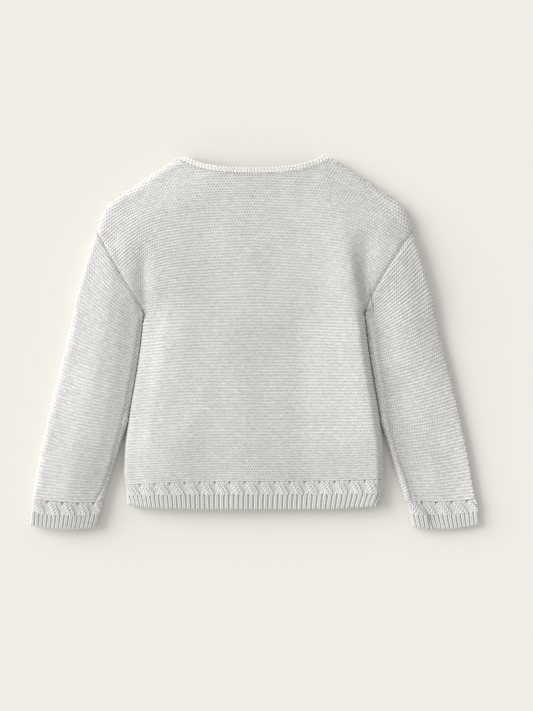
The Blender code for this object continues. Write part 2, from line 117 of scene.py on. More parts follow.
# %% Folds
# Soft folds of the top layer, each a crest or a trough through its points.
# columns: x, y, height (negative for a trough), width, width on the right where it differs
FOLDS = {
    "crease above the right underarm": [
        (107, 22, -1.6, 6), (105, 62, -2.4, 8), (108, 90, -1.4, 8),
        (113, 114, 0, 8)],
    "crease above the left underarm": [
        (-106, 29, -2.4, 6), (-107.5, 66, -2, 7), (-106, 100, 0, 7)],
    "dent beside the left armhole": [
        (-136, 102, -0.6, 6), (-129, 66, -1.2, 6)],
    "roll inside the right side": [
        (80, 112, 0.6, 20, 14), (91, 76, 4, 22, 8),
        (99, 40, 6, 25, 8), (106, 10, 6.6, 28, 8),
        (117.5, -60, 6.2, 30, 8), (123, -118, 4.2, 26, 8),
        (122, -160, 2.6, 24, 8)],
    "hollow inside that roll": [
        (42, 60, 0, 15), (44, 10, -1, 16), (52, -140, -1.2, 17)],
    "ridge inside the left side": [
        (-72, 110, 1.2, 34, 26), (-72, 20, 1.8, 30, 34),
        (-82, -128, 1.8, 30, 34)],
    "long swell down the middle": [
        (-8, 92, 0.4, 26, 18), (-14, 0, 2.2, 34, 24),
        (-10, -135, 2.4, 30, 26)],
    "slanting swell on the left": [
        (-26, 6, 0.6, 14), (-66, -92, 0.8, 14)],
    "hollow inside the right sleeve": [
        (115, 26, -3.6, 9, 18), (127, -50, -6.4, 10, 32),
        (142, -104, -7.4, 10, 36), (160, -150, -4.6, 9, 32)],
    "fall of the right sleeve": [
        (150, 80, 0, 22, 30), (158, 36, -1.2, 30, 30),
        (173, -40, -4.6, 40, 36), (198, -111, -7.4, 48, 40),
        (208, -150, -5.8, 46, 40)],
    "crown of the left sleeve": [
        (-136, 84, 1.2, 14), (-160, 18, 0.8, 22), (-176, -60, 0.4, 24),
        (-192, -150, 0.4, 22)],
}
print(len(FOLDS), "soft folds in the top layer")

# %% [markdown]
# ## Curves and heights
# One pair of functions gives the middle of the top layer and of the bottom layer at
# any place in plan.  Both turn into each other at the folded edges of the body and the
# sleeves, which is what makes two flat layers look like a garment and not like paper.

# %% Curves
def smooth(knots, values, at):
    """Smooth curve through the knots that never swings past them."""
    knots, values = np.asarray(knots, float), np.asarray(values, float)
    if knots[0] > knots[-1]:
        knots, values = knots[::-1], values[::-1]
    step = np.diff(knots)
    rise = np.diff(values) / step
    slope = np.zeros(len(knots))
    slope[0], slope[-1] = rise[0], rise[-1]
    for i in range(1, len(knots) - 1):
        if rise[i - 1] * rise[i] > 0.0:
            slope[i] = 2.0 * rise[i - 1] * rise[i] / (rise[i - 1] + rise[i])
    at = np.clip(at, knots[0], knots[-1])
    i = np.clip(np.searchsorted(knots, at) - 1, 0, len(step) - 1)
    t = (at - knots[i]) / step[i]
    return (values[i] * (1 + 2 * t) * (1 - t) ** 2 + values[i + 1] * t * t * (3 - 2 * t)
            + slope[i] * step[i] * t * (1 - t) ** 2
            - slope[i + 1] * step[i] * t * t * (1 - t))


def inset(line, amount):
    """The line moved sideways, to the right of its direction of travel."""
    along = np.gradient(line, axis=0)
    along /= np.linalg.norm(along, axis=1)[:, None]
    return line + amount * np.stack((along[:, 1], -along[:, 0]), axis=1)


def foot(x, y, start, end):
    """Nearest place on a stretch, 0 to 1 along it, and how far it is in x and in y."""
    (x0, y0), (dx, dy) = start, np.subtract(end, start)
    t = np.clip(((x - x0) * dx + (y - y0) * dy) / (dx * dx + dy * dy), 0.0, 1.0)
    return t, x - x0 - t * dx, y - y0 - t * dy


def distance(x, y, line):
    """Shortest distance from each point to the line."""
    best = np.full(np.shape(x), np.inf)
    for start, end in zip(line[:-1], line[1:]):
        _, across, up = foot(x, y, start, end)
        best = np.minimum(best, across ** 2 + up ** 2)
    return np.sqrt(best)


def ease(t):
    """0 to 1 with soft ends."""
    t = np.clip(t, 0.0, 1.0)
    return t * t * (3.0 - 2.0 * t)


def lengths(line):
    """Distance travelled along the line at each of its points."""
    steps = np.linalg.norm(np.diff(line, axis=0), axis=1)
    return np.concatenate(((0.0,), np.cumsum(steps)))


def along(line, share):
    """Points of the line at shares of its length."""
    travelled = lengths(line)
    at = np.asarray(share) * travelled[-1]
    return np.stack([np.interp(at, travelled, line[:, k]) for k in range(line.shape[1])], axis=1)


print("ease at 0, 1/4, 1/2 and 1:", [float(ease(t)) for t in (0.0, 0.25, 0.5, 1.0)])

# %% Folded edges
EDGE_STEPS = 6               # points of a fold line for each row of its table


def refined(line):
    """The line as a smooth curve, with EDGE_STEPS points for each one given."""
    travelled = lengths(line)
    start = np.arange(len(line) - 1)
    at = np.interp(np.linspace(0, start[-1] + 1, EDGE_STEPS * len(start) + 1),
                   np.arange(len(line)), travelled)
    return np.stack([smooth(travelled, line[:, k], at) for k in range(2)], axis=1)


OUTER_EDGE = refined(inset(SHOULDER_AND_SLEEVE, WALL / 2))
SIDE_EDGE = refined(BODY_SIDE - np.array((WALL / 2, 0.0)))


def edge_x(edge, y):
    """x of a fold line that runs down from its first point, at height y."""
    return np.interp(-np.asarray(y), -edge[:, 1], edge[:, 0])


def inner_edge():
    """Inner edge of the sleeve: beside the body first, then on its own."""
    beside = SIDE_EDGE[SIDE_EDGE[:, 1] > SLEEVE_LEAVES_BODY]
    beside = beside + np.array((WALL + SLEEVE_SPACE, 0.0))
    free = SLEEVE_INNER + np.array((WALL / 2, 0.0))
    return np.vstack((beside, refined(np.vstack((beside[-1], free)))[1:]))


INNER_EDGE = inner_edge()
print("fold lines of", len(OUTER_EDGE), len(SIDE_EDGE), "and", len(INNER_EDGE), "points")

# %% Heights of the two layers
def rounded(u):
    """Quarter of an ellipse: 0 at the fold, 1 where the cloth lies level."""
    return np.sqrt(1.0 - (1.0 - np.clip(u, 0.0, 1.0)) ** 2)


def fold_height(x, y, stations):
    """Height that one crest or trough adds: highest on its line, gone beside it."""
    near = np.full(np.shape(x), np.inf)
    height = np.zeros(np.shape(x))
    for (x0, y0, h0, *w0), (x1, y1, h1, *w1) in zip(stations[:-1], stations[1:]):
        t, across, up = foot(x, y, (x0, y0), (x1, y1))
        away = np.hypot(across, up)
        on_right = (x1 - x0) * (y - y0) - (y1 - y0) * (x - x0) > 0
        width = np.where(on_right, w0[-1] + (w1[-1] - w0[-1]) * t, w0[0] + (w1[0] - w0[0]) * t)
        here = (h0 + (h1 - h0) * t) * np.exp(-(away / width) ** 2)
        height = np.where(away < near, here, height)
        near = np.minimum(near, away)
    return height


def fold_heights(x, y):
    return sum(fold_height(x, y, np.array(line) * MM) for line in FOLDS.values())


def to_folds(x, y):
    """Distance to the outer edge, and to the edges where body and sleeve meet."""
    outer = distance(np.abs(x), y, OUTER_EDGE)
    side, sleeve = distance(np.abs(x), y, SIDE_EDGE), distance(np.abs(x), y, INNER_EDGE)
    return outer, np.minimum(side, sleeve)


def fold_z(x, y):
    """Height of the fold itself."""
    from_underarm = np.hypot(np.abs(x) - SIDE_EDGE[0, 0], y - UNDERARM_Y)
    lift = UNDERARM_LIFT * np.exp(-(from_underarm / UNDERARM_REACH) ** 2)
    thin = THIN_RIGHT * ease((x - THIN_X) / THIN_X_WIDTH) * ease((THIN_Y - y) / THIN_Y_WIDTH)
    return FOLD_Z + lift - thin


def top_z(x, y, outer, inner):
    sag = HEM_SAG * ease((SAG_Y - y) / SAG_WIDTH)
    away = np.minimum(outer, inner)
    crown = LOFT - WALL / 2 + fold_heights(x, y) - sag + PUFF * ease(away / PUFF_WIDTH)
    turn = TURN_TOP + LONG_TURN * ease((LONG_Y - y) / LONG_WIDTH) * (outer < inner) * (x > 0)
    share = (1.0 - SLOPE_SHARE) * rounded(away / turn)
    from_outer = ease(outer / np.where(x < 0, SLOPE_OUTER[-1], SLOPE_OUTER[1]))
    from_inner = ease(inner / np.where(x < 0, SLOPE_INNER[-1], SLOPE_INNER[1]))
    share = share + SLOPE_SHARE * np.minimum(from_outer, from_inner)
    return fold_z(x, y) + (crown - fold_z(x, y)) * share


def bottom_z(x, y, away):
    return fold_z(x, y) - (fold_z(x, y) - WALL / 2) * rounded(away / TURN_BOTTOM)


def raised(plan, layer):
    """Plan points with their height in the top or the bottom layer."""
    x, y = plan[..., 0], plan[..., 1]
    outer, inner = to_folds(x, y)
    z = top_z(x, y, outer, inner) if layer == "top" else bottom_z(x, y, np.minimum(outer, inner))
    return np.stack((x, y, z), axis=-1)


for layer in ("top", "bottom"):
    print(layer, "layer in the middle:", round(float(raised(np.zeros(2), layer)[2] / MM), 1), "mm up")

# %% [markdown]
# ## Where the courses run
# Each course crosses the back level in the middle and bends down towards the armhole,
# because a drop shoulder hangs on the slope of the shoulder.  A short table gives a few
# courses; the others lie between them, a ridge apart.  Garter knit is a little tighter
# just above the hem band and below the neck.

# %% Courses of the body
COURSE_X = np.array((0.0, 58.0, 82.0, 100.0, 120.0, 156.0)) * MM
# columns: height of the course at each of those distances from the middle
COURSES = np.array([
    (190, 189, 187, 184, 178, 166), (155, 152.8, 150.2, 146.2, 138.4, 118),
    (135, 132.5, 129.8, 125.4, 115.8, 86), (115.6, 112.8, 109.8, 104.6, 91.4, 58),
    (94.3, 91.5, 88.3, 82.4, 65.6, 33), (70.1, 67.7, 65.2, 60.4, 47, 24),
    (50.7, 49, 47.6, 44.6, 37, 24), (34.2, 33.4, 32.6, 31.6, 29, 20),
    (12, 11, 10, 9.1, 8.6, 8), (-31.6, -31.9, -32.4, -32.9, -33.2, -33.5),
    (-75.2, -75.4, -75.6, -75.8, -76, -76.2), (-134.3, -134.3, -134.3, -134.3, -134.3, -134.3),
]) * MM
# Height of one garter ridge.  columns: height of its course in the middle, pitch
RIDGE_PITCH = np.array([
    (-134.3, 2.42), (-108, 2.46), (-94, 2.75), (-76, 3.02), (60, 3.05),
    (90, 2.93), (118, 2.70), (140, 2.50), (190, 2.50),
]) * MM
YOKE_COURSE = 135.0 * MM     # the last course that runs from armhole to armhole
LEVELS = np.arange(COURSES[-1, 0], COURSES[0, 0], 0.25 * MM)
RIDGE_AT_LEVEL = np.concatenate(((0.0,), np.cumsum(
    np.diff(LEVELS) / np.interp((LEVELS[1:] + LEVELS[:-1]) / 2, *RIDGE_PITCH.T))))


def ridge_number(level):
    """How many garter ridges lie between the hem band and a course."""
    return np.interp(level, LEVELS, RIDGE_AT_LEVEL)


# Waves that unsettle the courses.  columns: height, length across, length up
WAVES = np.array([(0.16, 17.1, 41.0), (0.128, 29.3, -13.7), (0.08, 8.3, 6.1)]) * MM


def waver(x, y):
    """Hand-knitted courses waver a little."""
    return sum(height * np.sin(x / across + y / up) for height, across, up in WAVES)


def skewed(x, y):
    """y of the points once the lower body hangs askew."""
    share = ease((SKEW_START - y) / (SKEW_START - SKEW_FULL))
    reach = np.abs(x) / np.max(SIDE_EDGE[:, 0])
    return y + np.where(x < 0, SKEW[-1], SKEW[1]) * share * reach ** SKEW_POWER


def course_y(level, x):
    """Height of a body course at x, before the skew."""
    bends = [smooth(COURSES[:, 0], COURSES[:, k], level) for k in range(len(COURSE_X))]
    return smooth(COURSE_X, bends, np.abs(x))


print("garter ridges from hem band to neckline:", round(float(ridge_number(163.4 * MM)), 1))

# %% Outline of a panel
SEAM_STEPS = 80              # points of an armhole seam
WAVER_WIDTH = 10.0 * MM      # the courses start to waver over this height above the hem band


def seam_points(side, piece):
    """Armhole seam, right-handed, from the underarm to the shoulder.

    piece is -1 for the body's edge, +1 for the sleeve's edge and 0 for the middle.
    """
    low = np.array((edge_x(SIDE_EDGE, UNDERARM_Y), UNDERARM_Y))
    high = OUTER_EDGE[SHOULDER_END * EDGE_STEPS]
    s = np.linspace(0.0, 1.0, SEAM_STEPS)[:, None]
    run = (high - low) / np.linalg.norm(high - low)
    outward = np.array((run[1], -run[0]))
    line = low + (high - low) * s - SEAM_BOW[side] * 4.0 * s * (1.0 - s) * outward
    parted = SEAM_GAP / 2 * (1.0 - (1.0 - s) ** CORNER_POWER)
    if piece > 0:
        line = line + np.array((WALL + SLEEVE_SPACE, 0.0)) * (1.0 - s) ** CORNER_POWER
    return line + piece * parted * outward


def body_course(side, level, count):
    """Dense plan of a course from the middle to the armhole or the side."""
    x = np.linspace(0.0, COURSE_X[-1], count)
    y = course_y(level, x)
    y = skewed(side * x, y + waver(side * x, y) * ease((level - HEM_BAND_TOP) / WAVER_WIDTH))
    seam = seam_points(side, -1)
    limit = np.where(y > UNDERARM_Y, np.interp(y, seam[:, 1], seam[:, 0]), edge_x(SIDE_EDGE, y))
    last = int(np.argmax(x > limit))
    before, after = x[last - 1] - limit[last - 1], x[last] - limit[last]
    t = before / (before - after)
    line = np.stack((x, y), axis=1)
    return np.vstack((line[:last], line[last - 1] + (line[last] - line[last - 1]) * t))


def scoop(x, low, corner_x, corner_y, power):
    """Scooped line from its lowest point in the middle up to a corner."""
    return low + (corner_y - low) * np.clip(np.abs(x) / corner_x, 0.0, 1.0) ** power


def neck_seam(x, which, offset):
    """Neckline seam, moved up by offset measured across the seam."""
    low, _, power = NECK_LOW[which]
    slope = (NECK_Y - low) * power / NECK_X * (np.abs(x) / NECK_X) ** (power - 1.0)
    y = scoop(x, low, NECK_X, NECK_Y, power) + offset * np.hypot(1.0, slope)
    return np.stack((x, y), axis=-1)


print("armhole seams of", [round(lengths(seam_points(side, 0))[-1] / MM) for side in (-1, 1)], "mm")

# %% [markdown]
# ## A shell of knitting
# Every piece of cloth is one closed wall.  Its outer face is a fine grid, four rows of
# points to a garter ridge and two columns to a stitch, so that the relief can be raised
# from it.  Its inner face is hardly seen, so it has an eighth of the points each way,
# and faces with many corners close the edge between them.  Each point carries what the
# knitting needs to know: its course, its wale, and which way is out.

# %% Shell helpers
WALE_PITCH, RIDGE_LENGTH = 2.4 * MM, 3.0 * MM
INNER_STEP = 8               # the inner face keeps one point in this many
RIDGE_ROWS = (0.0, 0.22, 0.5, 0.78)  # where a ridge has its rows: narrow valley, broad crest


def grid_normals(grid, closed):
    """Unit normals of a grid of points whose rows run to the right and upwards."""
    if closed:
        across = np.roll(grid, -1, axis=1) - np.roll(grid, 1, axis=1)
    else:
        across = np.gradient(grid, axis=1)
    normal = np.cross(across, np.gradient(grid, axis=0))
    size = np.linalg.norm(normal, axis=2, keepdims=True)
    return normal / np.maximum(size, 1e-12)


def kept(count):
    """Indices of the points that the inner face keeps, ends included."""
    share = np.linspace(0, count - 1, max(2, count // INNER_STEP + 1))
    return np.unique(np.round(share).astype(int))


print("of 100 rows the inner face keeps", len(kept(100)))

# %% Shell builder
def shell_mesh(name, middle, course, dip, closed, outwards=1.0):
    """Closed wall round a grid of middle points, its outer face lowered by dip."""
    rows, columns = middle.shape[:2]
    normal = grid_normals(middle, closed) * outwards
    outer = middle + normal * (WALL / 2 - dip[..., None])
    row_kept, column_kept = kept(rows), kept(columns)
    if closed:
        column_kept = np.append(column_kept[:-1], columns)
    width = len(column_kept) - (1 if closed else 0)
    inner = (middle - normal * WALL / 2)[np.ix_(row_kept, column_kept[:width])]
    faces, corners = [], []

    def add(*points):
        """One face from (layer, row, column) corners, turned to face outwards."""
        face = []
        for layer, r, c in points if outwards > 0 else points[::-1]:
            if layer == "outer":
                face.append(r * columns + c % columns)
            else:
                face.append(rows * columns + r * width + c % width)
                r, c = row_kept[r], column_kept[c]
            corners.append((c * WALE_PITCH / 2, course[r, c % columns] * RIDGE_LENGTH))
        faces.append(face)

    for r in range(rows - 1):
        for c in range(columns if closed else columns - 1):
            add(("outer", r, c), ("outer", r, c + 1), ("outer", r + 1, c + 1), ("outer", r + 1, c))
    top, side = len(row_kept) - 1, len(column_kept) - 1
    for r in range(top):
        for c in range(side):
            add(("inner", r, c), ("inner", r + 1, c), ("inner", r + 1, c + 1), ("inner", r, c + 1))
    for k in range(side):
        between = range(column_kept[k], column_kept[k + 1] + 1)
        add(("inner", 0, k), ("inner", 0, k + 1), *[("outer", 0, c) for c in between[::-1]])
        add(("inner", top, k + 1), ("inner", top, k), *[("outer", rows - 1, c) for c in between])
    for k in range(0 if closed else top):
        between = range(row_kept[k], row_kept[k + 1] + 1)
        add(("inner", k + 1, 0), ("inner", k, 0), *[("outer", r, 0) for r in between])
        add(("inner", k, side), ("inner", k + 1, side),
            *[("outer", r, columns - 1) for r in between[::-1]])

    mesh = bpy.data.meshes.new(name)
    mesh.from_pydata(np.vstack((outer.reshape(-1, 3), inner.reshape(-1, 3))).tolist(), [], faces)
    mesh.uv_layers.new(name="cloth").data.foreach_set("uv", np.array(corners, np.float32).ravel())
    hidden = np.zeros(inner.shape[0] * inner.shape[1])
    wale = np.broadcast_to(np.arange(columns), (rows, columns)).ravel()
    store(mesh, "course", np.concatenate((course.ravel(), hidden)))
    store(mesh, "wale", np.concatenate((wale, hidden)))
    store(mesh, "cover", np.concatenate((np.ones(rows * columns), hidden)))
    store(mesh, "out", np.vstack((normal.reshape(-1, 3), np.zeros((len(hidden), 3)))), "FLOAT_VECTOR")
    mesh.shade_smooth()
    return mesh


def store(mesh, name, values, kind="FLOAT"):
    """Keeps a value for each point of a mesh."""
    values = np.asarray(values, np.float32)
    field = mesh.attributes.new(name, kind, "POINT")
    field.data.foreach_set("value" if kind == "FLOAT" else "vector", values.ravel())


def new_object(name, mesh):
    piece = bpy.data.objects.new(name, mesh)
    bpy.context.scene.collection.objects.link(piece)
    return piece


# %% [markdown]
# ## Nodes as expressions
# Node trees read better as formulas.  `Value` wraps a socket, and adding, multiplying
# or comparing values adds the Math node that does it.  `Tree.node` makes any other node:
# its settings go in first, then the values or links of its sockets.

# %% Formulas
def operator(operation):
    """A method that adds the Math node of this operation."""
    return lambda value, *others: value.math(operation, *others)


class Value:
    """A socket that can be used in a formula."""

    def __init__(self, tree, socket):
        self.tree, self.socket = tree, socket

    def math(self, operation, *others):
        return self.tree.node("ShaderNodeMath", {"operation": operation}, self, *others)[0]

    __add__ = __radd__ = operator("ADD")
    __mul__ = __rmul__ = operator("MULTIPLY")
    __sub__ = operator("SUBTRACT")
    __pow__ = operator("POWER")
    sine = operator("SINE")
    fraction = operator("FRACT")
    floor = operator("FLOOR")

    def __rsub__(self, other):
        return self.math("MULTIPLY_ADD", -1.0, other)

    def clamped(self):
        return self.math("MAXIMUM", 0.0).math("MINIMUM", 1.0)


class Tree:
    """A node tree that is written from the inputs to the output."""

    def __init__(self, nodes):
        self.nodes = nodes

    def node(self, kind, settings=None, *inputs, **named):
        """Adds a node and returns its outputs as values."""
        made = self.nodes.nodes.new(kind)
        for name, value in (settings or {}).items():
            setattr(made, name, value)
        for key, value in [*enumerate(inputs), *named.items()]:
            if value is None:
                continue
            usable = [socket for socket in made.inputs if socket.enabled]
            socket = usable[key] if isinstance(key, int) else made.inputs[key.replace("_", " ")]
            if isinstance(value, Value):
                self.nodes.links.new(value.socket, socket)
            else:
                socket.default_value = value
        return [Value(self, output) for output in made.outputs if output.enabled]


# %% Geometry trees
def geometry_tree(name, inputs):
    """A new Geometry Nodes tree; returns it and its inputs as values by name."""
    nodes = bpy.data.node_groups.new(name, "GeometryNodeTree")
    nodes.interface.new_socket("Geometry", in_out="INPUT", socket_type="NodeSocketGeometry")
    nodes.interface.new_socket("Geometry", in_out="OUTPUT", socket_type="NodeSocketGeometry")
    for label, (kind, value) in inputs.items():
        socket = nodes.interface.new_socket(label, in_out="INPUT", socket_type="NodeSocket" + kind)
        if value is not None:
            socket.default_value = value
    tree = Tree(nodes)
    group = tree.node("NodeGroupInput")
    return tree, dict(zip(["Geometry", *inputs], group))


def finish_tree(tree, geometry, material):
    """Realizes the instances, sets the material and ends the tree."""
    real = tree.node("GeometryNodeRealizeInstances", None, geometry)[0]
    real = tree.node("GeometryNodeSetMaterial", None, real, None, material)[0]
    tree.node("NodeGroupOutput", None, real)


def attribute(tree, name, kind="FLOAT"):
    return tree.node("GeometryNodeInputNamedAttribute", {"data_type": kind}, name)[0]


def grown(piece, tree, **inputs):
    """Runs a tree on a piece with these inputs and leaves the result as its plain mesh."""
    modifier = piece.modifiers.new(tree.nodes.name, "NODES")
    modifier.node_group = tree.nodes
    for item in tree.nodes.interface.items_tree:
        key = item.name.replace(" ", "_").lower()
        if item.in_out == "INPUT" and key in inputs:
            modifier[item.identifier] = inputs[key]
    evaluated = piece.evaluated_get(bpy.context.evaluated_depsgraph_get())
    mesh = bpy.data.meshes.new_from_object(evaluated, preserve_all_data_layers=True,
                                           depsgraph=bpy.context.evaluated_depsgraph_get())
    piece.modifiers.clear()
    old, piece.data = piece.data, mesh
    bpy.data.meshes.remove(old)
    mesh.name = piece.name
    points = np.empty(len(mesh.vertices) * 3)
    mesh.vertices.foreach_get("co", points)
    points[2::3] = np.maximum(points[2::3], 0.0)          # the floor presses it flat
    mesh.vertices.foreach_set("co", points)
    return piece


# %% [markdown]
# ## The yarn
# The yarn is a soft melange: pale fibres with a few darker ones, matt, with a faint halo
# of loose fibre.  Colour varies from stitch to stitch and along the courses.  Shade is
# painted into the colour too: darker in the valleys of the ridges, under the stitches and
# in the sunk bases of the bands.  What is too small to be modelled goes into the bump: the
# arcs of the loops on each ridge, the twist of the plies and fine fuzz.

# %% Yarn material
def garter_loops(cloth):
    """Height of the two rows of small arcs that make up each ridge."""
    u, v, _ = cloth.tree.node("ShaderNodeSeparateXYZ", None, cloth)
    wales, ridges = u * (1.0 / WALE_PITCH), v * (1.0 / RIDGE_LENGTH)
    swing = (wales * (2 * np.pi) + ridges.floor() * np.pi + np.pi / 2).sine()
    across = ridges.fraction() - swing * 0.09
    arcs = []
    for middle, swell in ((0.64, 0.2), (0.36, -0.2)):
        arc = 1.0 - ((across - middle) * 6.0) ** 2.0
        arcs.append(arc.math("MAXIMUM", 0.0) * (0.8 + swing * swell))
    ply = (wales * 30.0 + ridges * 22.0).sine()
    return arcs[0].math("MAXIMUM", arcs[1]) + ply * 0.07


def twisted_strand(cloth):
    """Height of the plies that wind round a strand."""
    u, v, _ = cloth.tree.node("ShaderNodeSeparateXYZ", None, cloth)
    return (v * 9000.0 + u * 6500.0).sine() * 0.22


def matt(name, **settings):
    """A new material with these settings; returns it, its nodes and its shader."""
    material = bpy.data.materials.new(name)
    material.use_nodes = True
    shader = material.node_tree.nodes["Principled BSDF"]
    for key, value in settings.items():
        shader.inputs[key.replace("_", " ")].default_value = value
    return material, material.node_tree, shader


def yarn(name, pale, dark, form, shade=0.45):
    """Matt melange yarn between two tones, with painted shade: darker by this share where the
    knitting lies deep.
    """
    material, nodes, shader = matt(name, Roughness=0.95, Specular_IOR_Level=0.15,
                                   Sheen_Weight=0.12, Sheen_Roughness=0.6)
    tree = Tree(nodes)
    place = tree.node("ShaderNodeTexCoord")[3]
    cloth = tree.node("ShaderNodeUVMap", {"uv_map": "cloth"})[0]
    streak = tree.node("ShaderNodeMapping", None, cloth, Scale=(160.0, 420.0, 1.0))[0]
    streaks = tree.node("ShaderNodeTexNoise", {"noise_dimensions": "2D"}, streak, 1.0, 2.0)[0]
    flecks = tree.node("ShaderNodeTexNoise", None, place, 620.0, 3.0)[0]
    clouds = tree.node("ShaderNodeTexNoise", None, place, 26.0, 2.0)[0]
    painted_light_share = tree.node("ShaderNodeAttribute", {"attribute_name": "painted_light_share"})[2]
    tone = (streaks - 0.5) * 0.7 + (flecks - 0.5) * 1.1 + (clouds - 0.5) * 0.4 + 0.92
    # Painted shade: the tone drops where the knitting lies deep, in the valleys and under the
    # stitches.
    tone = (tone * (1.0 - shade + painted_light_share * shade)).clamped()
    colour = tree.node("ShaderNodeMix", {"data_type": "RGBA"}, tone, (*dark, 1.0), (*pale, 1.0))[0]
    nodes.links.new(colour.socket, shader.inputs["Base Color"])
    fuzz = tree.node("ShaderNodeTexNoise", None, place, 2300.0, 3.0, 0.6)[0]
    bump = tree.node("ShaderNodeBump", None, Strength=0.8, Distance=0.45 * MM,
                     Height=form(cloth) + fuzz * 0.45)[0]
    nodes.links.new(bump.socket, shader.inputs["Normal"])
    return material


GARTER = yarn("garter_yarn", (0.985, 0.969, 0.940), (0.360, 0.354, 0.341), garter_loops, 0.72)
# Rib, cable and neck yarns are copies of the one garter yarn. Rib and cable have darker tones,
# painted shade of the bands. The neck yarn is lighter than those, painted light on the raised
# neckband.
RIB = yarn("rib_yarn", (0.742, 0.728, 0.705), (0.500, 0.491, 0.470), twisted_strand)
CABLE = yarn("cable_yarn", (0.748, 0.734, 0.712), (0.510, 0.501, 0.480), twisted_strand)
NECK_RIB = yarn("neck_yarn", (0.930, 0.914, 0.884), (0.720, 0.706, 0.678), twisted_strand)
print("yarns:", GARTER.name, RIB.name, CABLE.name, NECK_RIB.name)

# %% [markdown]
# ## Garter relief
# Garter knit shows a ridge of purl bumps for every two courses.  The tree lifts the
# outer face: a broad crest and a narrow valley across the course, and along the crest
# one bump for each stitch, half a stitch out of step from one ridge to the next.  It also
# stores a share of painted light for the yarn: full on the crests and none in the valleys,
# where the yarn paints shade.

# %% Garter tree
def garter_tree():
    tree, given = geometry_tree("garter_painted_light_share", {
        "Ridge Height": ("Float", 0.9 * MM), "Stitch Height": ("Float", 0.2 * MM),
        "Wave": ("Float", 0.16), "Roundness": ("Float", 0.6), "Unevenness": ("Float", 0.35),
        "Material": ("Material", None)})
    course, wale = attribute(tree, "course"), attribute(tree, "wale")
    step = ((wale + course.floor()) * np.pi + np.pi / 2).sine()
    across = (course.fraction() + step * given["Wave"]).clamped()
    ridge = (across * np.pi).sine().math("MAXIMUM", 0.0) ** given["Roundness"]
    uneven = tree.node("GeometryNodeInputPosition")[0]
    uneven = tree.node("ShaderNodeTexNoise", None, uneven, 170.0, 2.0)[0]
    lift = (ridge - 1.0) * given["Ridge Height"] + step * ridge * ridge * given["Stitch Height"]
    lift = lift * (1.0 + (uneven - 0.5) * 2.0 * given["Unevenness"])
    out = attribute(tree, "out", "FLOAT_VECTOR")
    move = tree.node("ShaderNodeVectorMath", {"operation": "SCALE"}, out, Scale=lift)[0]
    moved = tree.node("GeometryNodeSetPosition", None, given["Geometry"], None, None, move)[0]
    cover = attribute(tree, "cover")
    # Painted shade: the light share is full on the crests and falls to nothing in the valleys. It is
    # lower between stitches and nothing on the inner face.
    painted_crest_light = ridge ** 2.2 * (1.0 + (step - 1.0) * 0.17)
    with_light_share = tree.node("GeometryNodeStoreNamedAttribute", {"data_type": "FLOAT"},
                            moved, None, "painted_light_share", painted_crest_light * cover)[0]
    finish_tree(tree, with_light_share, given["Material"])
    return tree


GARTER_TREE = garter_tree()
print("garter tree of", len(GARTER_TREE.nodes.nodes), "nodes")

# %% [markdown]
# ## Back and front
# The two panels share one way of making.  Below the yoke every fourth row of points is
# the valley of a ridge.  In the yoke the rows turn to follow the neckline and the
# shoulder, and the ridges run on across them.

# %% Rows of a panel
HALF_WALES = 112             # points of a course from the middle to its end
NECK_WALES = 56              # so many of them go to the neckline
DENSE = 700                  # points of a course before they are spread over the cloth
YOKE_DEPTH, YOKE_STEP = 28.0 * MM, 0.62 * MM       # the yoke and its rows
NEAR_FOLD = np.array((3.9, 3.2, 2.6, 2.0, 1.45, 0.95, 0.5, 0.2, 0.0)) * MM  # its last rows
PANEL_RIDGE, STITCH_HEIGHT = 0.68 * MM, 0.30 * MM  # heights of the relief
SEAM_DIP, SEAM_DIP_WIDTH = 1.0 * MM, 1.7 * MM      # the cloth sinks beside the armhole seams


def spread(plan, layer, count):
    """count points of a plan line, evenly spaced over the cloth and not over the plan."""
    return along(raised(plan, layer), np.linspace(0.0, 1.0, count))


def closed_row(top_plan, bottom_plan, steps=800):
    """Closed row through a plan line of each layer, both from left to right."""
    top, bottom = spread(top_plan, "top", steps + 1), spread(bottom_plan, "bottom", steps + 1)
    return np.vstack((top, bottom[-2:0:-1]))


def yoke_edge(side, which):
    """Top of half a panel: along the neckline, then down the shoulder."""
    x = np.linspace(0.0, NECK_X, 200)
    neck = along(neck_seam(x, which, -SEAM_GAP / 2), np.linspace(0.0, 1.0, NECK_WALES))
    shoulder = OUTER_EDGE[EDGE_STEPS + 1:SHOULDER_END * EDGE_STEPS]
    shoulder = np.vstack((neck[-1], shoulder, seam_points(side, -1)[-1]))
    over = along(shoulder, np.linspace(0.0, 1.0, HALF_WALES - NECK_WALES + 2))
    return np.vstack((neck, over[1:]))


def level_at(y, levels, heights, most):
    """Level of the course that passes through each point.

    heights has a row for each of the evenly spaced levels, and most says how far past the
    last one a point may lie, counted in steps from the one before.
    """
    index = np.clip((heights < y.ravel()).sum(axis=0), 1, len(levels) - 1)
    pick = np.arange(y.size)
    low, high = heights[index - 1, pick], heights[index, pick]
    t = np.clip((y.ravel() - low) / np.maximum(high - low, 1e-6), 0.0, most)
    return (levels[index - 1] + (levels[1] - levels[0]) * t).reshape(y.shape)


def yoke_ridges(side, x, y):
    """Ridge number of the body's knitting at each point of the yoke."""
    levels = np.linspace(YOKE_COURSE - 20.0 * MM, COURSES[0, 0], 120)
    heights = np.array([course_y(level, x.ravel()) for level in levels])
    heights += waver(side * x.ravel(), heights)
    return ridge_number(level_at(y, levels, heights, 1.5))


print("the yoke starts at ridge", round(float(ridge_number(YOKE_COURSE)), 1))

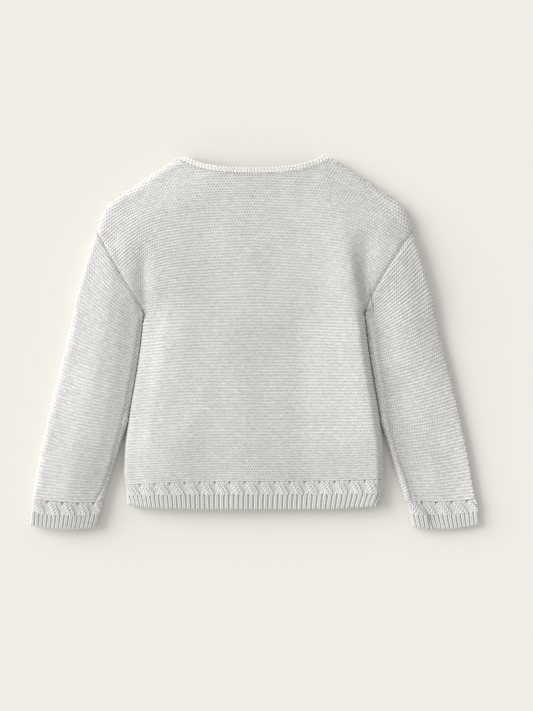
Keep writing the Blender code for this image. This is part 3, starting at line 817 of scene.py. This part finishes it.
# %% Panels
def half_panel(side, which):
    """Middle points and course numbers of half a panel, from the hem band upwards."""
    layer = "top" if which == "back" else "bottom"
    last = ridge_number(YOKE_COURSE)
    ridges = np.arange(int(last) + 1)
    numbers = (ridges[:, None] + np.array(RIDGE_ROWS)).ravel()
    numbers = np.append(numbers[numbers < last - 0.1], last)
    levels = np.interp(numbers, RIDGE_AT_LEVEL, LEVELS)
    plans = [spread(body_course(side, level, DENSE), layer, HALF_WALES + 1) for level in levels]
    first = plans[-1][:, :2]
    edge = yoke_edge(side, which)
    depths = np.concatenate((np.arange(YOKE_DEPTH, NEAR_FOLD[0], -YOKE_STEP)[1:], NEAR_FOLD))
    yoke = np.array([edge + (first - edge) * depth / YOKE_DEPTH for depth in depths])
    yoke_numbers = yoke_ridges(side, yoke[..., 0], yoke[..., 1])
    middle = np.concatenate((np.array(plans), raised(yoke, layer)))
    course = np.concatenate((np.repeat(numbers[:, None], HALF_WALES + 1, axis=1), yoke_numbers))
    return middle, course


def panel(name, which):
    """One panel from its two halves, mirrored and joined in the middle."""
    right, right_course = half_panel(1, which)
    left, left_course = half_panel(-1, which)
    left = left[:, :0:-1] * np.array((-1.0, 1.0, 1.0))
    middle = np.concatenate((left, right), axis=1)
    course = np.concatenate((left_course[:, :0:-1], right_course), axis=1)
    x, y = middle[..., 0], middle[..., 1]
    if which == "back":
        # the folds differ from side to side, so the heights are read again where they are
        middle = raised(middle[..., :2], "top")
    apart = EDGE_GAP * np.exp(-np.minimum(*to_folds(x, y)) / EDGE_GAP)
    middle[..., 2] += apart if which == "back" else -apart
    outwards = 1.0 if which == "back" else -1.0
    mesh = shell_mesh(name, middle, course, seam_dip(x, y), closed=False, outwards=outwards)
    return garter_piece(name, mesh, PANEL_RIDGE)


def triangles(piece):
    piece.data.calc_loop_triangles()
    return len(piece.data.loop_triangles)


def garter_piece(name, mesh, ridge_height):
    """A shell with its ridges and stitches raised from it."""
    piece = grown(new_object(name, mesh), GARTER_TREE, ridge_height=ridge_height,
                  stitch_height=STITCH_HEIGHT, material=GARTER)
    print(name, "has", triangles(piece), "triangles")
    return piece


def seam_dip(x, y):
    """How far the cloth sinks beside the armhole seams."""
    dip = np.zeros(np.shape(x))
    for side in (-1, 1):
        seam = seam_points(side, 0)
        near = distance(side * x, y, seam)
        dip += np.where(side * x > 0, SEAM_DIP * np.exp(-(near / SEAM_DIP_WIDTH) ** 2), 0.0)
    return dip


back = panel("back_knit", "back")
front = panel("front_knit", "front")

# %% [markdown]
# ## Sleeves
# A sleeve is a tube, knitted in the round of the arm from a straight seam on the body
# down to the cuff.  Its courses start out on the slope of the arm and turn level towards
# the wrist.  Above the underarm the ridges run out against the seam, so that part has
# rows of its own with the ridges running on across them, as in the yoke.

# %% Courses of a sleeve
# columns: y at the inner edge, y at the outer edge, sag between them
SLEEVE_COURSES = np.array([
    (80, 136, 0.8), (54, 106.9, 1), (40, 91.9, 1.2), (23.5, 73, 1.6),
    (13.9, 56.5, 2), (2.3, 35.2, 2.4), (-17.1, 8.1, 2.6), (-36.5, -16.1, 2.6),
    (-55.8, -38.4, 2.5), (-79.1, -65.5, 2.3), (-101.4, -88.8, 2), (-120.7, -111.1, 1.8),
    (-138.2, -133.3, 1.6), (-154.6, -152.2, 1.4),
]) * MM
SLEEVE_LEVELS = SLEEVE_COURSES[:, :2].mean(axis=1)
FIRST_FULL = SLEEVE_LEVELS[5]      # the highest course that goes all the way round
SLEEVE_RIDGE = 3.03 * MM     # pitch of the ridges, and their height on each side
SLEEVE_RIDGE_HEIGHT = {-1: 0.68 * MM, 1: 0.52 * MM}
SLEEVE_WALES = 62            # points across one layer of a sleeve
CAP_ROWS = 118               # rows of points above that course


def sleeve_course(level):
    """Inner y, outer y and sag of the sleeve's course at a level."""
    return [smooth(SLEEVE_LEVELS, SLEEVE_COURSES[:, k], level) for k in range(3)]


def sleeve_y(level, x):
    """Height of a sleeve course at x."""
    inner, outer, sag = sleeve_course(level)
    start, end = edge_x(INNER_EDGE, inner), edge_x(OUTER_EDGE, outer)
    t = (x - start) / (end - start)
    return inner + (outer - inner) * t - sag * 4.0 * t * (1.0 - t)


def arm_row(row, count=300):
    """Plan of a row across a sleeve, from its inner to its outer edge."""
    inner, outer, sag = row
    start = np.array((edge_x(INNER_EDGE, inner), inner))
    end = np.array((edge_x(OUTER_EDGE, outer), outer))
    t = np.linspace(0.0, 1.0, count)
    line = start + (end - start) * t[:, None]
    return line - np.stack((0.0 * t, sag * 4.0 * t * (1.0 - t)), axis=1)


def tube_row(plan, side, count):
    """Closed row round a tube: across the top from left to right, back underneath."""
    plan = plan if side > 0 else plan[::-1] * np.array((-1.0, 1.0))
    return closed_row(plan, plan, count)


def sleeve_ridges(x, y):
    """Ridge number of the sleeve's knitting at each point in plan."""
    levels = np.linspace(SLEEVE_LEVELS[-1], SLEEVE_LEVELS[0], 400)
    heights = np.array([sleeve_y(level, x.ravel()) for level in levels])
    return (level_at(y, levels, heights, 1.0) - SLEEVE_LEVELS[-1]) / SLEEVE_RIDGE


print("ridges round a sleeve:", round(float((FIRST_FULL - SLEEVE_LEVELS[-1]) / SLEEVE_RIDGE), 1))


# %% Underarm seam
# The seam under the arm has turned a little to the back, so it shows along the lower arm.
# columns: distance from the middle, y
UNDERARM_SEAM = {
    1: np.array([(110.5, 20), (113.6, -2), (118.6, -32), (123, -52.6), (130.4, -77.2),
                 (137.7, -105.6), (147.6, -132.9), (155, -160.1), (157.5, -181)]) * MM,
    -1: np.array([(110.5, 20), (113.6, -2), (118.6, -32), (123.2, -56), (126.7, -71.1),
                  (134.1, -100.7), (139, -119.3), (145.3, -137.8), (152.7, -151.4),
                  (158.9, -170), (161.8, -181)]) * MM,
}
SEAM_GROOVE, SEAM_GROOVE_WIDTH = 1.1 * MM, 1.2 * MM
GROOVE_Y, GROOVE_REACH = 30.0 * MM, 12.0 * MM      # it comes in below the underarm
SEAM_PULL = 0.53             # slope of the ridges between the seam and the inner edge


def underarm(side, middle):
    """Groove along the underarm seam, and how far the ridges shift beyond it."""
    x, y = middle[..., 0], middle[..., 1]
    top = np.arange(middle.shape[1]) <= SLEEVE_WALES
    beyond = edge_x(UNDERARM_SEAM[side], y) - np.abs(x)      # past the seam, towards the body
    fade = ease((GROOVE_Y - y) / GROOVE_REACH)
    groove = SEAM_GROOVE * np.exp(-(beyond / SEAM_GROOVE_WIDTH) ** 2) * fade * top
    fold = 0 if side > 0 else SLEEVE_WALES
    at_fold = np.maximum(beyond[:, fold:fold + 1], 0.0)
    inner, outer = np.abs(x[:, fold:fold + 1]), np.abs(x[:, SLEEVE_WALES - fold:][:, :1])
    across = np.clip((np.abs(x) - inner) / (outer - inner), 0.0, 1.0)
    shift = np.where(top, np.maximum(beyond, 0.0), at_fold * (1.0 - across))
    return groove, shift * SEAM_PULL / SLEEVE_RIDGE


print("underarm seams of", [round(lengths(line)[-1] / MM) for line in UNDERARM_SEAM.values()], "mm")


# %% Sleeve tubes
def sleeve(name, side):
    last = (FIRST_FULL - SLEEVE_LEVELS[-1]) / SLEEVE_RIDGE
    numbers = (np.arange(int(last) + 1)[:, None] + np.array(RIDGE_ROWS)).ravel()
    numbers = numbers[numbers < last - 0.1]
    levels = SLEEVE_LEVELS[-1] + numbers * SLEEVE_RIDGE
    rows = [tube_row(arm_row(sleeve_course(level)), side, SLEEVE_WALES) for level in levels]
    full = arm_row(sleeve_course(FIRST_FULL))
    seam = along(seam_points(side, 1), np.linspace(0.0, 1.0, len(full)))
    for share in np.linspace(0.0, 1.0, CAP_ROWS):
        rows.append(tube_row(full + (seam - full) * share, side, SLEEVE_WALES))
    middle = np.array(rows)
    x, y = middle[..., 0], middle[..., 1]
    course = np.repeat(numbers[:, None], middle.shape[1], axis=1)
    cap = sleeve_ridges(np.abs(x[len(numbers):]), y[len(numbers):])
    course = np.concatenate((course, cap))
    groove, shift = underarm(side, middle)
    middle[..., 1] += waver(x * 1.3, y)
    mesh = shell_mesh(name, middle, course + shift, seam_dip(x, y) + groove, closed=True)
    return garter_piece(name, mesh, SLEEVE_RIDGE_HEIGHT[side])


left_sleeve = sleeve("left_sleeve_knit", -1)
right_sleeve = sleeve("right_sleeve_knit", 1)

# %% [markdown]
# ## Stitches of rib and cable
# Ribs and cables are columns of plain knit stitches, and each of those is a V of two
# short lengths of yarn.  One small tree makes them all: it puts a left and a right lobe
# on every point of a list, turned to the way out of the cloth and the way down the
# column, which the points carry with them.

# %% Stitch tree
def stitch_tree():
    tree, given = geometry_tree("knit_stitches", {
        "Length": ("Float", 3.3 * MM), "Width": ("Float", 1.7 * MM),
        "Thickness": ("Float", 1.5 * MM), "Apart": ("Float", 0.75 * MM),
        "Turn": ("Float", 0.35), "Material": ("Material", None)})
    out = attribute(tree, "out", "FLOAT_VECTOR")
    down = attribute(tree, "down", "FLOAT_VECTOR")
    lobe = tree.node("GeometryNodeMeshUVSphere", None, 8, 5, 0.5)[0]
    place = tree.node("GeometryNodeInputPosition")[0]
    height = tree.node("ShaderNodeSeparateXYZ", None, place)[2]
    # Painted shade: each lobe is darker towards its underside, where it sinks into the cloth.
    lobe = tree.node("GeometryNodeStoreNamedAttribute", {"data_type": "FLOAT"},
                     lobe, None, "painted_light_share", height * 0.9 + 0.62)[0]
    strand = tree.node("ShaderNodeVectorMath", None, place, (0.0017, 0.0033, 0.0))[0]
    strand.socket.node.operation = "MULTIPLY"
    lobe = tree.node("GeometryNodeStoreNamedAttribute", {"data_type": "FLOAT2", "domain": "CORNER"},
                     lobe, None, "cloth", strand)[0]
    facing = tree.node("FunctionNodeAxesToRotation",
                       {"primary_axis": "Z", "secondary_axis": "Y"}, out, down)[0]
    side = tree.node("ShaderNodeVectorMath", {"operation": "CROSS_PRODUCT"}, out, down)[0]
    form = tree.node("ShaderNodeCombineXYZ", None, given["Width"], given["Length"],
                     given["Thickness"])[0]
    pair = tree.node("GeometryNodeJoinGeometry")[0]
    for hand in (-1.0, 1.0):
        turn = tree.node("ShaderNodeCombineXYZ", None, 0.0, 0.0, given["Turn"] * hand)[0]
        turn = tree.node("FunctionNodeEulerToRotation", None, turn)[0]
        turned = tree.node("FunctionNodeRotateRotation", {"rotation_space": "LOCAL"}, facing, turn)[0]
        step = tree.node("ShaderNodeVectorMath", {"operation": "SCALE"}, side,
                         Scale=given["Apart"] * hand)[0]
        points = tree.node("GeometryNodeSetPosition", None, given["Geometry"], None, None, step)[0]
        half = tree.node("GeometryNodeInstanceOnPoints", None, points, Instance=lobe,
                         Rotation=turned, Scale=form)[0]
        tree.nodes.links.new(half.socket, pair.socket.node.inputs[0])
    finish_tree(tree, pair, given["Material"])
    return tree


STITCH_TREE = stitch_tree()
print("stitch tree of", len(STITCH_TREE.nodes.nodes), "nodes")


def stitches(name, place, out, down, material, **sizes):
    """Knit stitches at these places as one piece."""
    place = np.array(place).reshape(-1, 3)
    place[:, 2] = np.maximum(place[:, 2], sizes["thickness"] / 2)
    mesh = bpy.data.meshes.new(name)
    mesh.from_pydata(place.tolist(), [], [])
    store(mesh, "out", out, "FLOAT_VECTOR")
    store(mesh, "down", down, "FLOAT_VECTOR")
    piece = grown(new_object(name, mesh), STITCH_TREE, material=material, **sizes)
    piece.data.shade_smooth()
    print(name, "has", len(place), "stitches and", triangles(piece), "triangles")
    return piece


# %% [markdown]
# ## Bands
# A band is a short closed tube.  `Band` keeps its upper and its lower edge and finds
# any place on it, with the way out and the way down, so that columns of rib and
# crossing cables can be laid out on it like a pattern on a strip of paper.

# %% Band helper
class Band:
    """A tube of cloth between an upper and a lower closed edge."""

    def __init__(self, upper, lower):
        self.edges = [upper, lower]
        self.length = (lengths(upper)[-1] + lengths(lower)[-1]) / 2

    def point(self, around, down):
        """Middle of the cloth at shares of the way round and of the way down."""
        steps = len(self.edges[0])
        at = (np.asarray(around) % 1.0) * steps
        low = np.floor(at).astype(int) % steps
        t = (at - np.floor(at))[..., None]
        high = (low + 1) % steps
        upper, lower = [edge[low] * (1 - t) + edge[high] * t for edge in self.edges]
        return upper + (lower - upper) * np.asarray(down)[..., None]

    def frame(self, around, down):
        """Place, way out and way down at each point of the band."""
        around, down = np.broadcast_arrays(np.asarray(around, float), np.asarray(down, float))
        place = self.point(around, down)
        beside = self.point(around + 0.002, down) - self.point(around - 0.002, down)
        below = self.point(around, down + 0.02) - self.point(around, down - 0.02)
        out = np.cross(below, beside)
        out /= np.linalg.norm(out, axis=-1, keepdims=True)
        below = below / np.linalg.norm(below, axis=-1, keepdims=True)
        return place, out, below


def base_shell(name, band, columns, rows, recess, material, groove=0.0):
    """Plain shell of a band, sunk below its stitches, with a groove below its upper edge."""
    down = np.linspace(1.0, 0.0, rows)
    around = np.arange(columns) / columns
    middle = band.point(*np.broadcast_arrays(around[None, :], down[:, None]))
    dip = np.full((rows, columns), recess) + groove * np.exp(-(down[:, None] / 0.14) ** 2)
    course = np.repeat((1.0 - down)[:, None], columns, axis=1)
    mesh = shell_mesh(name, middle, course, dip, closed=True)
    # Painted shade: the sunk base between the stitches takes the full darkening of its yarn.
    store(mesh, "painted_light_share", np.zeros(len(mesh.vertices)))
    mesh.materials.append(material)
    piece = new_object(name, mesh)
    print(name, "has", triangles(piece), "triangles")
    return piece


test_ring = np.array([(1, 0, 0), (0, 1, 0), (-1, 0, 0), (0, -1, 0)])
print("a quarter of the way round a test band:", Band(test_ring, test_ring).point(0.25, 0.0))

# %% [markdown]
# ## Rib
# Rib pulls itself into plump columns of knit stitches with deep valleys between them.
# The columns stand a little closer at one end of the hem than at the other, and towards
# the sides they lean out at the top, because the body above is wider than the rib.

# %% Rib columns
def even(pitch):
    """The same pitch at every place on a band."""
    return lambda place: np.full(place.shape[:-1], pitch)


def columns_round(band, pitch):
    """Shares round the band where the columns stand; pitch is a function of the place."""
    share = np.linspace(0.0, 1.0, 2001)
    x = band.point(share, 0.5)
    steps = np.linalg.norm(np.diff(x, axis=0), axis=1)
    total = np.concatenate(((0.0,), np.cumsum(steps / pitch((x[1:] + x[:-1]) / 2))))
    count = int(round(total[-1]))
    return np.interp((np.arange(count) + 0.5) / count * total[-1], total, share)


def rib(name, band, pitch, per_column, lean=(0.0, 0.0), half_width=1.0, length=2.0,
        width=1.8, apart=0.76, thickness=2.2, depth=1.0, material=RIB):
    """Columns of stitches down a band, leaning out at the top by lean on the left and right.

    length counts in pitches of a column; width, apart, thickness and depth are in mm.
    """
    around = columns_round(band, pitch)
    down = (np.arange(per_column) + 0.5) / per_column
    x = band.point(around, 0.5)[:, 0] / half_width
    shift = -np.where(x < 0, lean[0], lean[1]) * np.clip(x, -1.0, 1.0) ** 3 / band.length
    around = around[:, None] + shift[:, None] * (down[None, :] - 0.5)
    down = np.broadcast_to(down, around.shape)
    place, out, below = band.frame(around, down)
    beside = np.cross(below, out)
    below = below + beside * (shift[:, None, None] * band.length / (HEM_RIB_TOP - HEM_BOTTOM))
    place = place + out * (WALL / 2 - depth * MM)
    tall = np.linalg.norm(band.point(0.25, 0.0) - band.point(0.25, 1.0)) / per_column
    return stitches(name, place, out, below, material, length=tall * length, width=width * MM,
                    thickness=thickness * MM, apart=apart * MM, turn=0.13)


def rib_shell(name, band, columns):
    return base_shell(name, band, columns, 9, 1.4 * MM, RIB)


# %% Hem rib
def hem_row(centre_y, skew_share, corner_rise, count=500):
    """Plan of a row across the hem, from the left fold to the right one."""
    half_width = edge_x(SIDE_EDGE, centre_y)
    share = np.linspace(-1.0, 1.0, count)
    y = centre_y + corner_rise * np.abs(share) ** HEM_CORNER_POWER
    reach = np.abs(share) * half_width / np.max(SIDE_EDGE[:, 0])
    y = y + skew_share * np.where(share < 0, SKEW[-1], SKEW[1]) * reach ** SKEW_POWER
    return np.stack((share * edge_x(SIDE_EDGE, y), y), axis=1)


HEM_HALF_WIDTH = 124.0 * MM
gap = np.array((0.0, SEAM_GAP))
hem_lines = [hem_row(HEM_BAND_TOP, 1.0, 0.0) - gap, hem_row(HEM_RIB_TOP, RIB_SKEW, 0.0),
             hem_row(HEM_BOTTOM, 0.0, HEM_CORNER_RISE)]
hem_edges = [closed_row(line, line) for line in hem_lines]
hem_braid_band = Band(hem_edges[0], hem_edges[1])
hem_rib_band = Band(hem_edges[1] - np.array((0.0, SEAM_GAP, 0.0)), hem_edges[2])
print("round the hem:", round(hem_rib_band.length / MM, 1), "mm")


def hem_pitch(place):
    """Pitch of the columns at places on the hem, closer at the left end of the back."""
    top = np.interp(place[..., 0], (-0.125, -0.04, 0.125), (3.8 * MM, 4.7 * MM, 4.75 * MM))
    return np.where(place[..., 2] > FOLD_Z, top, 4.4 * MM)


hem_rib_base = rib_shell("hem_rib_base", hem_rib_band, 360)
hem_rib_columns = rib("hem_rib_columns", hem_rib_band, hem_pitch, 5, (2.0 * MM, 4.4 * MM),
                      HEM_HALF_WIDTH)

# %% [markdown]
# ## Braid
# Above the rib runs a row of small cables, one beside the other.  In each, two columns
# of stitches cross in front of two others, and between them the cloth lies deeper.

# %% Cables
CABLE_REACH = 2.482 * MM     # the middle of a pair starts this far from the cable's middle
CABLE_HEIGHT = 12.2 * MM
CABLE_DEPTH = 0.95 * MM      # the yarn lies this deep, save for the lifts below
COLUMN_APART = 3.7 * MM      # the two columns of a pair
V_STEPS = 5                  # stitches down a column
# The pair behind and the pair in front.  columns: way it leans, how far it lifts
PAIRS = ((-1.0, -0.6 * MM), (1.0, 0.35 * MM))


def cables(name, band, count):
    """So many cables round a band, each of two crossing pairs of columns."""
    v = (np.arange(V_STEPS) + 0.5) / V_STEPS
    cross = ease((v - 0.08) / 0.84)
    laid = []
    for centre in (np.arange(count) + 0.5) / count:
        for hand, lift in PAIRS:
            for strand in (-0.5, 0.5):
                across = (2.0 * cross - 1.0) * hand * CABLE_REACH + strand * COLUMN_APART
                place, out, below = band.frame(centre + across / band.length, v)
                slope = np.gradient(across, v) / CABLE_HEIGHT
                rise = WALL / 2 - CABLE_DEPTH + lift * np.sin(np.pi * v)
                laid.append((place + out * rise[:, None], out,
                             below + np.cross(below, out) * slope[:, None]))
    places, outs, downs = [np.vstack(part) for part in zip(*laid)]
    return stitches(name, places, outs, downs, CABLE, length=4.2 * MM, width=2.25 * MM,
                    thickness=2.2 * MM, apart=0.86 * MM, turn=0.26)


def braid_shell(name, band, columns):
    return base_shell(name, band, columns, 13, 0.7 * MM, CABLE, 1.2 * MM)


hem_braid_base = braid_shell("hem_braid_base", hem_braid_band, 360)
hem_cables = cables("hem_cables", hem_braid_band, 35)

# %% Cuffs
def cuff(side, word):
    """Both bands of a cuff, each with its shell and its stitches."""
    lines = [CUFF_BAND_TOP - np.array((SEAM_GAP, SEAM_GAP, 0.0)), CUFF_RIB_TOP, CUFF_BOTTOM]
    edges = [tube_row(arm_row(line), side, 260) for line in lines]
    braid, ribs = Band(edges[0], edges[1]), Band(edges[1] - np.array((0, SEAM_GAP, 0)), edges[2])
    return [braid_shell(word + "_cuff_braid_base", braid, 120),
            cables(word + "_cuff_cables", braid, 9),
            rib_shell(word + "_cuff_rib_base", ribs, 120),
            rib(word + "_cuff_columns", ribs, even(4.1 * MM), 5)]


left_cuff = cuff(-1, "left")
right_cuff = cuff(1, "right")

# %% [markdown]
# ## Neckband
# The neckband is a narrow strip of fine rib, two stitches high.

# %% Neckband
def neck_free(which, count=400):
    """Free edge of the neckband in plan, from left to right."""
    _, low, power = NECK_LOW[which]
    x = np.linspace(-NECK_FREE_X, NECK_FREE_X, count)
    return np.stack((x, scoop(x, low, NECK_FREE_X, NECK_FREE_Y, power)), axis=1)


def neck_sewn(which, count=400):
    """Edge of the neckband that is sewn on, in plan, from left to right."""
    return neck_seam(np.linspace(-NECK_X, NECK_X, count), which, SEAM_GAP / 2)


neck_band = Band(closed_row(neck_free("back"), neck_free("front")),
                 closed_row(neck_sewn("back"), neck_sewn("front")))
neck_base = base_shell("neckband_base", neck_band, 240, 6, 0.7 * MM, NECK_RIB)
neck_ribs = rib("neckband_ribs", neck_band, even(3.3 * MM), 2, length=1.45, width=1.6, apart=0.68,
                thickness=1.3, depth=0.6, material=NECK_RIB)

# %% [markdown]
# ## Sewing up
# The pieces are linked together with the same yarn: a chain of small stitches that lies
# sunk in the groove where two pieces meet.  The chain takes the darker rib tone, painted
# shade of that groove.

# %% Chains
NEAR = 0.002                 # share of a line over which its direction is taken


def chain(name, line, out, spacing, depth, **sizes):
    """Chain of stitches along a line of points on the middle of the cloth."""
    count = int(round(lengths(line)[-1] / spacing))
    share = (np.arange(count) + 0.5) / count
    place = along(line, share)
    down = along(line, np.minimum(share + NEAR, 1.0)) - along(line, np.maximum(share - NEAR, 0.0))
    down /= np.linalg.norm(down, axis=1)[:, None]
    out = along_values(line, out, share)
    # Painted shade: the chain takes the darker rib yarn for the shade of the groove it lies in.
    return stitches(name, place + out * (WALL / 2 - depth), out, down, RIB, **sizes)


def along_values(line, values, share):
    """Directions given on a line, at shares of its length."""
    at = np.asarray(share) * lengths(line)[-1]
    found = np.stack([np.interp(at, lengths(line), values[:, k]) for k in range(3)], axis=1)
    return found / np.linalg.norm(found, axis=1)[:, None]


def lifted(plan, layer):
    """A plan line on one layer, with the way out of the cloth."""
    line = raised(plan, layer)
    step = 0.3 * MM
    slope = [(raised(plan + move, layer) - raised(plan - move, layer))[:, 2] / (2 * step)
             for move in (np.array((step, 0.0)), np.array((0.0, step)))]
    out = np.stack((-slope[0], -slope[1], np.ones(len(line))), axis=1)
    out = out if layer == "top" else -out
    return line, out / np.linalg.norm(out, axis=1)[:, None]


# %% Seams
def armhole_seam(word, side):
    """Chain up the armhole over the back and down it again over the front."""
    plan = seam_points(side, 0) * np.array((side, 1.0))
    top, top_out = lifted(plan, "top")
    bottom, bottom_out = lifted(plan[::-1], "bottom")
    return chain(word + "_armhole_seam", np.vstack((top, bottom)), np.vstack((top_out, bottom_out)),
                 2.3 * MM, 0.95 * MM, length=2.1 * MM, width=1.0 * MM, thickness=1.0 * MM,
                 apart=0.44 * MM, turn=0.35)


left_armhole_seam = armhole_seam("left", -1)
right_armhole_seam = armhole_seam("right", 1)


def neck_chain(name, which, layer):
    """Chain along the neckline, where the neckband was picked up."""
    x = np.linspace(-NECK_X * 0.985, NECK_X * 0.985, 400)
    line, out = lifted(neck_seam(x, which, -0.9 * MM), layer)
    return chain(name, line, out, 2.5 * MM, 0.35 * MM, length=2.4 * MM, width=1.1 * MM,
                 thickness=1.1 * MM, apart=0.45 * MM, turn=0.5)


back_neck_seam = neck_chain("back_neck_seam", "back", "top")
front_neck_seam = neck_chain("front_neck_seam", "front", "bottom")


def underarm_chain(word, side):
    """Chain along the underarm seam, down to the edge of the cuff."""
    plan = UNDERARM_SEAM[side]
    plan = along(refined(plan[plan[:, 1] > -0.1785]), np.linspace(0.06, 1.0, 300))
    line, out = lifted(plan * np.array((side, 1.0)), "top")
    return chain(word + "_underarm_seam", line, out, 2.5 * MM, 1.6 * MM, length=1.9 * MM,
                 width=0.8 * MM, thickness=1.0 * MM, apart=0.34 * MM, turn=0.3)


left_underarm_seam = underarm_chain("left", -1)
right_underarm_seam = underarm_chain("right", 1)

# %% [markdown]
# ## Floor, light and camera
# A plain pale floor runs out of sight.  One broad lamp shines from low on the left and a
# plain white surround fills the rest, so that the ridges read and the shadows stay soft.
# The camera looks straight down.

# %% Floor
def plain_floor():
    mesh = bpy.data.meshes.new("floor")
    edge = 14.0
    mesh.from_pydata([(-edge, -edge, 0), (edge, -edge, 0), (edge, edge, 0), (-edge, edge, 0)], [],
                     [(0, 1, 2, 3)])
    mesh.materials.append(matt("floor_paint", Base_Color=(0.803, 0.780, 0.729, 1.0),
                               Roughness=1.0, Specular_IOR_Level=0.0)[0])
    return new_object("floor", mesh)


floor = plain_floor()
print("floor of", round(floor.dimensions.x), "by", round(floor.dimensions.y), "m")

# %% Light
LAMP_FROM = Vector((-0.858, 0.304, 0.414))
lamp = bpy.data.lights.new("window", "SUN")
lamp.energy = 3.34
lamp.angle = 0.86
lamp_object = new_object("window", lamp)
lamp_object.rotation_euler = LAMP_FROM.to_track_quat("Z", "Y").to_euler()
world = bpy.data.worlds.new("surround")
world.use_nodes = True
surround = world.node_tree.nodes["Background"].inputs
surround["Color"].default_value = (1.0, 1.0, 1.0, 1.0)
surround["Strength"].default_value = 0.65
bpy.context.scene.world = world
print("the lamp's light comes in at", round(float(np.degrees(np.arcsin(LAMP_FROM.normalized().z)))),
      "degrees above the floor")

# %% Camera
camera = bpy.data.cameras.new("camera")
camera.lens = 78.4
camera_object = new_object("camera", camera)
camera_object.location = (0.0118, -0.0127, 1.508)
bpy.context.scene.camera = camera_object
bpy.context.scene.view_settings.view_transform = "Standard"
print("camera", round(camera_object.location.z, 2), "m up, lens of", round(camera.lens, 1), "mm")

# %% [markdown]
# ## What each piece stands for
# Every piece moves with the one body of the garment and stands for its solid.

# %% Bodies and hidden solids
def register(piece, slot_name, *nodes):
    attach(piece, "root")
    if nodes:
        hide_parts(*nodes)


register(back, "garter_knit", "back_panel")
register(front, "garter_knit", "front_panel")
register(left_sleeve, "garter_knit", "left_sleeve")
register(right_sleeve, "garter_knit", "right_sleeve")
for piece in (left_armhole_seam, right_armhole_seam, left_underarm_seam, right_underarm_seam,
              back_neck_seam, front_neck_seam):
    register(piece, "garter_knit")
register(neck_base, "rib_knit", "neckband")
register(neck_ribs, "rib_knit")
register(hem_braid_base, "cable_knit", "hem_braid")
register(hem_cables, "cable_knit")
register(hem_rib_base, "rib_knit", "hem_rib")
register(hem_rib_columns, "rib_knit")
for word, pieces in (("left", left_cuff), ("right", right_cuff)):
    register(pieces[0], "cable_knit", word + "_cuff_braid")
    register(pieces[1], "cable_knit")
    register(pieces[2], "rib_knit", word + "_cuff_rib")
    register(pieces[3], "rib_knit")
